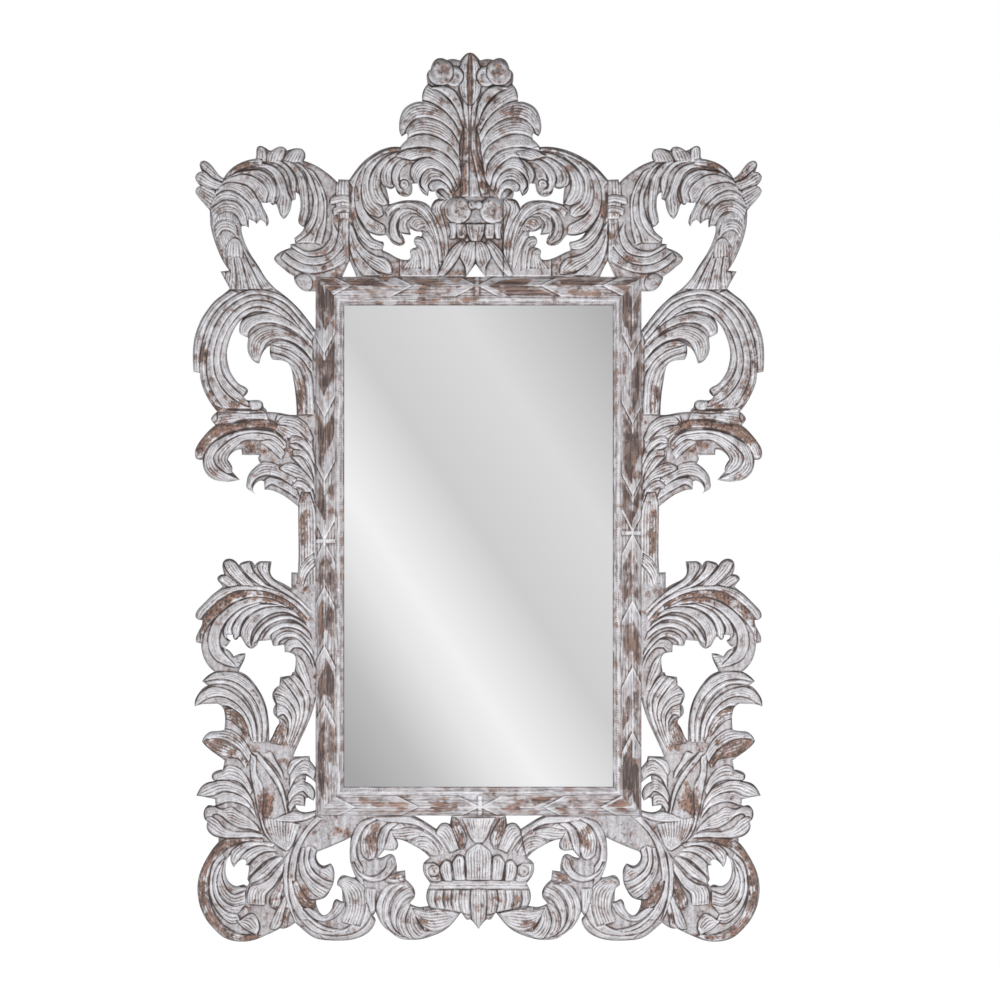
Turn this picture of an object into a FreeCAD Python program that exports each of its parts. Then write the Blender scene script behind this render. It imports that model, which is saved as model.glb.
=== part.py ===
import FreeCAD, Part
import os
import re

import Sketcher

from FreeCAD import Placement, Rotation, Vector

# Carved wall mirror. Front faces -Y, +Z is up, and the flat back of the frame lies in the plane Y = 0.
# The origin is the middle of the backing board's back face. All sizes are in millimetres.

SIZES = [
    ("frame_width", 583, "outer width of the mitred frame"),
    ("frame_height", 964, "outer height of the mitred frame"),
    ("side_reach", 220, "carving beyond the frame at each side"),
    ("crest_rise", 401.5, "carving above the frame"),
    ("apron_drop", 226, "carving below the frame"),
    ("moulding_width", 51, "width of the frame's moulding"),
    ("edge_thickness", 27, "moulding at its outer edge"),
    ("ridge_inset", 16, "ridge of the moulding from its outer edge"),
    ("ridge_thickness", 38, "moulding at its ridge"),
    ("foot_thickness", 30, "moulding at the flat inside the ridge"),
    ("flat_width", 6, "flat band inside the ridge"),
    ("cove_width", 8, "cove at the sight edge"),
    ("lip_thickness", 6, "wood in front of the glass"),
    ("glass_rebate", 12, "how far the glass runs under the moulding"),
    ("board_rebate", 24, "how far the board runs under the moulding"),
    ("glass_thickness", 4, "mirror glass"),
    ("glass_clearance", 1, "play round the edge of the glass"),
    ("strip_thickness", 10, "glazing strips behind the glass"),
    ("strip_width", 10.5, "glazing strips"),
    ("board_thickness", 6, "backing board"),
    ("board_clearance", 0.5, "play round the edge of the board"),
    ("plank_thickness", 26, "carved planks at their ground"),
    ("relief_height", 12, "raised leaves above the ground"),
    ("crown_height", 20, "raised middle of the crest and apron"),
    ("dowel_radius", 4, "dowels between planks and frame"),
    ("dowel_length", 36, "dowels between planks and frame"),
    ("dowel_depth", 13, "dowel axes in front of the back"),
    ("dowel_clearance", 0.1, "play round a dowel and at its ends"),
    ("batten_thickness", 6, "battens glued over the joints"),
    ("joint_batten_width", 25, "battens over the small joints"),
    ("joint_batten_length", 60, "battens over the small joints"),
    ("shoulder_batten_length", 78, "battens over the shoulder joints"),
    ("corner_batten_share", 0.56, "battens from plumes to apron, of side_reach"),
    ("corner_batten_length", "=side_reach * corner_batten_share", "battens from plumes to apron"),
    ("crest_batten_width", 34, "battens over the crest joints"),
    ("crest_batten_length", 132, "battens over the crest joints"),
    ("apron_batten_width", 58, "batten behind the apron's middle"),
    ("apron_batten_length", 118, "batten behind the apron's middle"),
    ("screw_radius", 1.75, "wood screw shank"),
    ("screw_head_radius", 3.5, "wood screw head"),
    ("screw_head_height", 2.2, "wood screw head"),
    ("screw_tip_length", 4, "wood screw point"),
    ("batten_screw_length", 24, "screws through the battens"),
    ("board_screw_length", 16, "screws through the backing board"),
    ("strap_screw_gap", 1.2, "strap screws' points short of the dowels"),
    ("screw_clearance", 0.1, "play round a screw"),
    ("strap_width", 14, "hanger strap"),
    ("strap_thickness", 1.2, "hanger strap"),
    ("strap_length", 54, "hanger strap below the ring's bar"),
    ("strap_inset", 13.5, "strap's middle from the frame's outer edge"),
    ("strap_drop", 182, "ring's bar below the frame's top edge"),
    ("first_strap_screw", 27, "upper strap screw below the ring's bar"),
    ("second_strap_screw", 45, "lower strap screw below the ring's bar"),
    ("ring_wire_radius", 1.75, "hanging ring's wire"),
    ("ring_clearance", 0.3, "play of the ring's bar in its loop"),
    ("ring_bow_radius", 11, "ring's bow, on its wire's middle"),
    ("ring_corner_radius", 4, "ring's corners, on its wire's middle"),
    ("bumper_radius", 9, "wall bumper where it is glued"),
    ("bumper_tip_radius", 7.5, "wall bumper where it meets the wall"),
    ("bumper_thickness", 8, "wall bumper"),
    ("bumper_rise", 62, "bumpers above the frame's bottom edge"),
    ("overrun", 2, "how far a cut runs past what it cuts"),
]

# Pixel coordinates in the reference picture that stand for the edges of the frame and the carving.
AXIS_COLUMN = 478.5
FRAME_LEFT_COLUMN = 315.5
REACH_COLUMN = 192.6
FRAME_TOP_ROW = 276.5
FRAME_BOTTOM_ROW = 816
CREST_TOP_ROW = 51.9
APRON_END_ROW = 940.6
# The crest's own middle line leans from these columns at its top and foot.
CREST_AXIS_TOP = (470, 150)
CREST_AXIS_FOOT = (475.5, 200)
CREST_SEAM_COLUMN = 349
CREST_AXIS_COLUMN = 400

# Outlines of the carved planks of the left half, in pixel coordinates of the reference picture.
# The first entry is the start. Each further entry goes on from the last point reached:
# one point is a straight edge, and more points are one smooth curve.
PLANK_PIXELS = {
    "shoulder_scroll": [
        [(275.3, 288.3)], [(229.6, 288.3)], [(220, 271)], [(229, 270)],
        [(222, 259.5), (216.7, 247.7), (213, 237), (210.3, 225.3), (209.5, 214.7), (209.5, 210)],
        [(203, 202.5), (197, 195), (195.2, 191), (196.5, 187.5), (200.3, 185.2)],
        [(196.5, 181), (195, 176), (197.5, 172.3), (201.7, 171)],
        [(199.6, 166), (199.8, 162), (203, 160), (207, 161), (214.5, 168.8), (223.5, 177.3)],
        [(234.8, 165), (243.3, 160.8), (255.2, 158)],
        [(256, 151), (257.5, 146), (260, 145.1), (265, 147), (271, 149.8)],
        [(275.3, 147.3), (280.7, 145.8), (284.5, 147), (286.5, 149.8)],
        [(292.4, 148), (298, 147.5), (303, 149.3), (304.9, 154), (302.5, 159.8)],
        [(315.9, 165), (324.4, 170.4), (331.9, 176.3), (337.7, 182)],
        [(338.3, 178.6)], [(349, 179.2)], [(349, 260)], [(341.5, 276.5)],
        [(315.5, 276.5)], [(315.5, 290.6)],
        [(309.5, 290.6), (303, 289.9), (297.7, 286), (294.5, 280.8), (293.5, 275.6)],
        [(286, 270.7), (279.6, 265.3), (274.3, 260), (273.7, 258.4), (276.4, 254),
         (281.7, 250.4), (290.3, 247.2)],
        [(290, 243.5)], [(295, 243)], [(294, 237.6)],
        [(296.7, 235.5), (301, 231.7), (304, 226.4)],
        [(301, 224.8), (298.5, 222.5), (298, 218.9), (299.9, 209.3), (300, 199.7),
         (298.3, 193.3), (295, 191.2)],
        [(295, 198)], [(291.3, 199.7)],
        [(290.8, 204), (288, 212.5), (283, 218)],
        [(279.6, 213.6), (277, 206), (275.3, 202.4)],
        [(272, 203.8), (269.5, 200.8)],
        [(266.5, 201.6), (260.4, 201)],
        [(264.7, 210.4), (267.7, 217.9), (267.9, 222), (266, 225.3)],
        [(263.6, 221), (259.3, 218.4)],
        [(256, 222.7)], [(253, 220)], [(248, 217.9)], [(248.1, 226.4)], [(244.4, 224.8)],
        [(241, 224.8)],
        [(240.7, 228.5), (242.3, 236), (246.5, 246.7), (251.9, 256.3), (258.3, 265.9),
         (264.7, 276.5), (272, 285), (275.3, 288.3)],
    ],
    "side_scroll": [
        [(229.6, 288.3)], [(275.3, 288.3)],
        [(289.5, 299.3), (299.2, 309), (307, 318.7), (315.5, 330)],
        [(315.5, 414.6)], [(296.3, 414.6)],
        [(295.8, 400.9), (293.9, 384.4), (292.4, 374.8), (290.5, 367), (288, 363),
         (283.7, 360.7), (278, 359.5), (272, 359)],
        [(270.2, 355.4), (269.5, 351.6), (270, 344.8)],
        [(265.4, 347.7), (262, 352.5), (260, 357.4), (258.6, 363)],
        [(254.7, 361.7), (250.4, 357.4), (247.5, 350.6), (247.2, 343.8), (248, 337.5)],
        [(242, 334.6), (239.3, 332.2), (238.8, 329.3), (239.7, 323.5), (243.5, 317)],
        [(237.3, 322.5), (232.5, 330.3), (229, 339), (226.7, 347.7), (226.2, 356.4),
         (227.2, 363), (229.6, 370.9), (233.5, 377.7), (240.2, 384.4), (245, 386.9),
         (247.3, 390.2), (246, 393.5), (243, 396)],
        [(246, 399.4), (250.9, 400)],
        [(255.7, 399.8), (260, 400.4), (262.5, 403.8), (263, 406.7), (265.4, 409), (266, 411.5)],
        [(217, 411.5)],
        [(210.2, 402.8), (204.9, 393), (201.5, 384.4), (200, 376.7), (200, 372.5)],
        [(193.3, 371.4)],
        [(192.6, 357.4), (193, 345.8), (194.8, 335), (197.7, 326.4), (201.5, 317.7),
         (207.3, 309), (214, 300.8), (221.8, 294.5), (229.6, 288.3)],
    ],
    "side_leaf": [
        [(217, 411.5)], [(266, 411.5)],
        [(270, 411.7), (280, 412.7), (286.6, 414), (296.3, 414.6)],
        [(315.5, 414.6)], [(315.5, 506.4)], [(297.8, 506.4)],
        [(290.3, 500.5), (283, 495.4), (276.6, 492.2), (270.2, 490), (264.3, 489.7)],
        [(263.8, 481.5)],
        [(259.2, 480.8), (255.6, 483), (252.8, 486.8), (252.2, 490), (254.5, 493.6)],
        [(249.2, 490.4), (246.4, 487.7), (246.3, 482.2), (247.4, 476.7), (250.6, 471.2),
         (255.6, 466.2), (260.1, 463)],
        [(258, 457.5), (259.2, 454.8)],
        [(241.7, 454.8)], [(241.2, 449.3)],
        [(236.4, 449.8), (231.8, 452.5), (228.2, 456.6), (227, 459.4)],
        [(229.6, 463), (231.7, 468.5), (231.4, 471.2)],
        [(235.5, 475.8), (239, 479.7)],
        [(233.7, 480.8), (227.3, 481.6), (220, 481), (214.5, 479.9), (209, 476.7),
         (204.4, 470.8), (202.4, 463.9), (202.2, 458.9)],
        [(198.5, 459.8), (195.8, 458), (194.6, 453.9), (195.8, 447.5), (199, 442),
         (204.4, 435.2), (209.9, 429.2), (215, 425)],
        [(212.7, 422.4), (211, 419.2), (212.2, 416), (217, 411.5)],
    ],
    "side_strip": [
        [(297.8, 506.4)], [(315.5, 506.4)], [(315.5, 556)], [(298.3, 556)], [(297.8, 506.4)],
    ],
    "lower_leaf": [
        [(298.3, 556)], [(315.5, 556)], [(315.5, 697)],
        [(310, 718), (301.6, 737.2), (292.5, 757.6)],
        [(268.3, 742)],
        [(270.2, 739.9), (274, 732.4), (278.8, 724)],
        [(278.6, 720.4), (276.4, 718), (273.4, 714.4), (272.8, 711.4), (275.2, 704.8)],
        [(272.8, 700), (271.9, 695.2), (274, 689.8), (279, 686.2)],
        [(279.7, 677.6)], [(290.8, 676)], [(292, 672.8)], [(294, 672.5)],
        [(294.8, 668), (295.5, 660), (294.5, 656), (291, 653.5), (284.5, 652.5)],
        [(284, 645)], [(275, 646.5)], [(272.5, 646)], [(271, 640.3)], [(258, 641.5)],
        [(255, 647), (251, 649), (247.5, 647.5), (244, 643), (240.5, 637)],
        [(238.5, 637.5), (235.5, 640.5), (233, 638), (233, 635)],
        [(225.8, 635.5)], [(227, 639)], [(230, 641.2)],
        [(227, 645.5), (223, 649)],
        [(229, 651.5), (231.5, 654.5), (233, 657)],
        [(240, 654.2), (244.8, 654)],
        [(242.5, 663), (240, 668), (238, 672)],
        [(214.5, 672)],
        [(206.5, 664), (203, 657), (201.2, 650), (200.8, 643.8)],
        [(196, 642.8)],
        [(198.5, 631), (201.8, 624), (202, 620)],
        [(198.5, 620), (195.5, 617.5), (195.5, 613.5), (199, 608), (205, 602), (212, 595),
         (219, 589.5), (222, 587)],
        [(218.5, 582), (216.8, 578.5), (218.5, 576), (222, 574.5), (224, 575)],
        [(222.2, 568), (222.5, 563), (224.5, 560), (228.5, 558.8), (232, 559.5),
         (235.5, 562), (238.3, 566)],
        [(240.5, 563), (246, 561.2), (250.5, 561.2), (253, 563.5), (254, 566.5)],
        [(258, 562), (260, 561.3)],
        [(270.8, 561.5)],
        [(270, 568), (270, 574), (273, 578.5), (279, 582), (286, 585.5), (291, 589)],
        [(291, 572.5)], [(297.5, 572.8)], [(298.3, 556)],
    ],
    "plume": [
        [(214.5, 672)], [(238, 672)],
        [(247.6, 677.2), (254.8, 685.6), (262, 697.6), (266.2, 709.6), (268, 721.6),
         (268.6, 732.4), (268.3, 742)],
        [(292.5, 757.6)], [(308.8, 757)], [(309.8, 761.8)], [(315.5, 769)], [(315.5, 783.5)],
        [(310, 778.6), (305.8, 776.2)],
        [(305, 782.8)],
        [(311.2, 786.4), (314.2, 791.2), (314.8, 796), (313, 801.4)],
        [(308.2, 798.4)], [(305.2, 799)], [(304.6, 806.8)], [(295.6, 805.6)],
        [(295.6, 809.2), (298, 811.6), (305.2, 813.4), (311, 812.5), (315.5, 811)],
        [(315.5, 816)],
        [(303, 832), (293, 850)],
        [(283, 849.5)], [(262, 838)], [(218.2, 838.2)],
        [(212.8, 836.3), (208, 832), (206.2, 826), (207.4, 822.4)],
        [(204.2, 819.4), (203.2, 814), (205, 808.6), (208, 806.3), (212.8, 806.9), (215.4, 805.6)],
        [(215, 799.6)], [(204.4, 797.5)], [(196, 796.3)],
        [(198.4, 791.2), (203.2, 785.2), (210.4, 782.5), (215.8, 781.6)],
        [(211.4, 778), (211.4, 775.6), (215.2, 772), (222.4, 770.8)],
        [(224.2, 761.2)],
        [(212.8, 752.8), (205.6, 746.8), (201.8, 742)],
        [(203.8, 737.2), (209.2, 732.7), (217.6, 731.8), (224.2, 730)],
        [(224.8, 718), (223.6, 710.8), (221.2, 706.6), (217, 703.9)],
        [(209.2, 704.2), (200.8, 704.8), (194.6, 707.2)],
        [(195.4, 698.8), (199, 692.8), (203.2, 688), (208, 686.2)],
        [(201.8, 681.6)],
        [(211, 673.6), (214.5, 672)],
    ],
    "corner_scroll": [
        [(218.2, 838.2)], [(262, 838)], [(283, 849.5)], [(293, 850)],
        [(287.5, 874), (289, 900), (295, 922)],
        [(290.3, 925.3), (284.4, 927.8), (280, 927.5)],
        [(274.3, 930.7), (264.7, 935), (256, 938.5), (246.5, 940.6), (238, 940.6),
         (229.5, 939.2), (221, 935), (213.5, 928), (207, 920.5), (201.7, 911), (198.5, 901.3),
         (197.3, 892.8), (197.3, 884.3), (199, 874.7), (202.8, 865), (208, 855.5),
         (213.5, 847.5), (218, 842.7)],
        [(218.2, 838.2)],
    ],
    "apron_scroll": [
        [(315.5, 816)], [(412, 816)],
        [(422, 821), (430, 826), (436, 830)],
        [(430, 858.5)],
        [(426, 854), (420, 849.5), (409, 843.5), (400, 840), (395.5, 839.5)],
        [(397.8, 844.5), (397.5, 848), (394.5, 850.5), (390, 850.8), (384, 850.3)],
        [(380, 855), (377, 858)],
        [(384, 857), (390.5, 854.8), (393.5, 856.5), (395.5, 861), (396.5, 866), (396.2, 872.2)],
        [(404.8, 871)], [(405.5, 880)],
        [(411, 885), (414, 889.5), (415, 894), (413.5, 898.5), (411, 901), (410, 904)],
        [(413, 905.5), (418, 907), (426, 906.5), (429, 906)],
        [(437, 906.5), (445, 909), (461, 912)],
        [(455, 919.5), (449, 926), (440, 932), (430, 935.8), (420, 938.5), (410, 939),
         (400, 937.5), (392, 932.5), (385, 927), (380, 921), (377, 915), (375.5, 911)],
        [(372.5, 916)],
        [(375.2, 921), (374, 924.5), (370, 930), (363, 935), (355, 938), (346, 939.5),
         (328.7, 939.5), (317, 938), (307.3, 932.8), (301, 927.5), (295, 922)],
        [(289, 900), (287.5, 874), (293, 850)],
        [(303, 832), (315.5, 816)],
    ],
    "crest_scroll": [
        [(349, 260)], [(349, 179.2)],
        [(351.6, 175.3), (356.4, 168.5), (362.2, 161.7), (369, 156), (376.7, 151),
         (384.5, 147.7), (392.2, 146), (400, 146.3)],
        [(412, 150), (424, 152)],
        [(418.5, 165), (417.3, 182.2)],
        [(411.7, 182.5)],
        [(412.2, 188.3), (411, 192.7), (407.7, 195.1), (401.9, 194.9), (397.5, 192.2),
         (395.6, 188.3), (394.6, 185.4)],
        [(390.3, 187.8), (387.4, 186.9), (385.4, 185)],
        [(386.4, 188.3), (387.8, 194), (389, 200), (388.8, 203.8)],
        [(396.1, 201.6), (403.8, 199.9), (411.5, 199.7), (417.3, 199.9), (423.1, 201.4),
         (428, 204.3), (430.7, 207.2)],
        [(432.8, 201.9), (435.2, 199.2), (438.4, 198.5)],
        [(447, 199)], [(447, 276.5)], [(356.2, 276.5)],
        [(352.6, 267.6), (349, 260)],
    ],
}

# Contours of the left half of the two middle planks, from the frame outwards to their middle line.
MIDDLE_PIXELS = {
    "crest_centre": [
        [(475.5, 263)], [(465.5, 276.5)], [(447, 276.5)], [(447, 199)], [(438.4, 198.5)],
        [(437.1, 196), (435.5, 192.7), (435.7, 189.5)],
        [(431.8, 190.5), (429.1, 189.3)],
        [(428.4, 191.2), (428, 194.9)],
        [(421.2, 190.3), (418.5, 185.4), (417.3, 182.2)],
        [(418.5, 165), (424, 152)],
        [(412, 150), (400, 146.3)],
        [(402.7, 143), (407, 139.1)],
        [(407.5, 136.7), (406.5, 131.8)],
        [(404.5, 133), (401.6, 135.1)],
        [(399.9, 132.5), (399, 127.6), (399.3, 120.6), (401.3, 112.9), (404.8, 107.3),
         (410.4, 103.4), (416.7, 101.3), (422.2, 101)],
        [(421.9, 96.8), (422.6, 91.9), (424.7, 87), (427.5, 83.5)],
        [(426.8, 79.3), (426.5, 75.1), (427.9, 70.9), (430.3, 69.1)],
        [(431.4, 65.3), (433.8, 60.4), (437, 57.9), (440.5, 57.2), (444, 57.9), (446.8, 59.3)],
        [(451, 58.3), (455.9, 58.6), (459.7, 59.8)],
        [(462.2, 56.9), (465.7, 53.4), (470, 51.9)],
    ],
    "apron_shell": [
        [(478.5, 816)], [(451.8, 816)],
        [(450.5, 820), (449.8, 825.5)],
        [(446, 823.8), (441, 824.5), (437.5, 828), (436, 830)],
        [(430, 858.5)],
        [(426.5, 860.5), (423.5, 863.5), (422.8, 869), (424.5, 875), (428, 880), (430.5, 883.5)],
        [(428, 888), (426.2, 894), (426.8, 901), (429, 906)],
        [(437, 906.5), (445, 909), (461, 912)],
        [(463.5, 915), (466, 918.5), (470, 918.5)],
        [(474, 922), (477.5, 926.5), (478.5, 928)],
    ],
}

HOLE_PIXELS = {
    "corner_scroll": [
        [(230.5, 855)],
        [(226.3, 860.8), (224.7, 868.3), (225.2, 875.7), (227.3, 881), (231, 884.8),
         (237, 886.4), (242.3, 885), (246, 887)],
        [(248.9, 882.7)], [(247, 879)],
        [(248, 873.6), (248.7, 865.6)],
        [(245, 865.3)],
        [(246, 860.8), (242.3, 859.2)],
        [(238, 861.9), (233.7, 867.4)],
        [(231.6, 864), (230.3, 859.7), (230.5, 855)],
    ],
    "apron_scroll": [
        [(318, 851.7)],
        [(326.5, 848.5), (339.3, 843.2), (350.5, 837.8)],
        [(350, 843), (349.5, 852), (350, 862), (352.5, 870), (355.5, 877.5)],
        [(346, 876.2), (341.5, 876), (338.8, 878.4), (337, 882), (337.2, 885.3)],
        [(341, 888), (342, 892.8), (343, 901.3)],
        [(339.3, 900.8), (336, 899.4), (333.5, 901.3), (332.2, 905.6), (329.7, 911),
         (326, 914.7), (322.8, 915.4), (319.6, 913), (317, 908.3), (315.7, 903.5), (315.9, 899.7)],
        [(320, 899.2), (325.5, 896.5), (329.7, 890.7), (333, 883.2), (334, 875.7),
         (333, 868.3), (329.7, 864)],
        [(326, 865.6), (322.3, 866.1), (318, 863), (316, 858.7), (315.9, 855.5), (318, 851.7)],
    ],
    "crest_scroll": [
        [(369, 231.5)],
        [(372.9, 233.3), (378.7, 234.7), (385.4, 233.8)],
        [(389.3, 238.6), (393.2, 243), (398, 244.7), (402.8, 243.9), (404.6, 241.5),
         (403.3, 236.7), (401.4, 232.3)],
        [(406.7, 233.6), (410.6, 233.8)],
        [(409.1, 227)],
        [(413.5, 229.4), (416.4, 230.4), (420.7, 230.4)],
        [(421.7, 234.7), (420.7, 236.2)],
        [(415.4, 236.7), (413.7, 240.5), (414.9, 243.9), (417, 246.8)],
        [(413.5, 247.5), (410.1, 250.2), (410.6, 255), (408.6, 259.1)],
        [(399.9, 258.4), (391.2, 254), (383.5, 250.2)],
        [(382.5, 247.8), (383.5, 244.4), (382.5, 241)],
        [(374.8, 238.6), (369, 231.5)],
    ],
}

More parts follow.
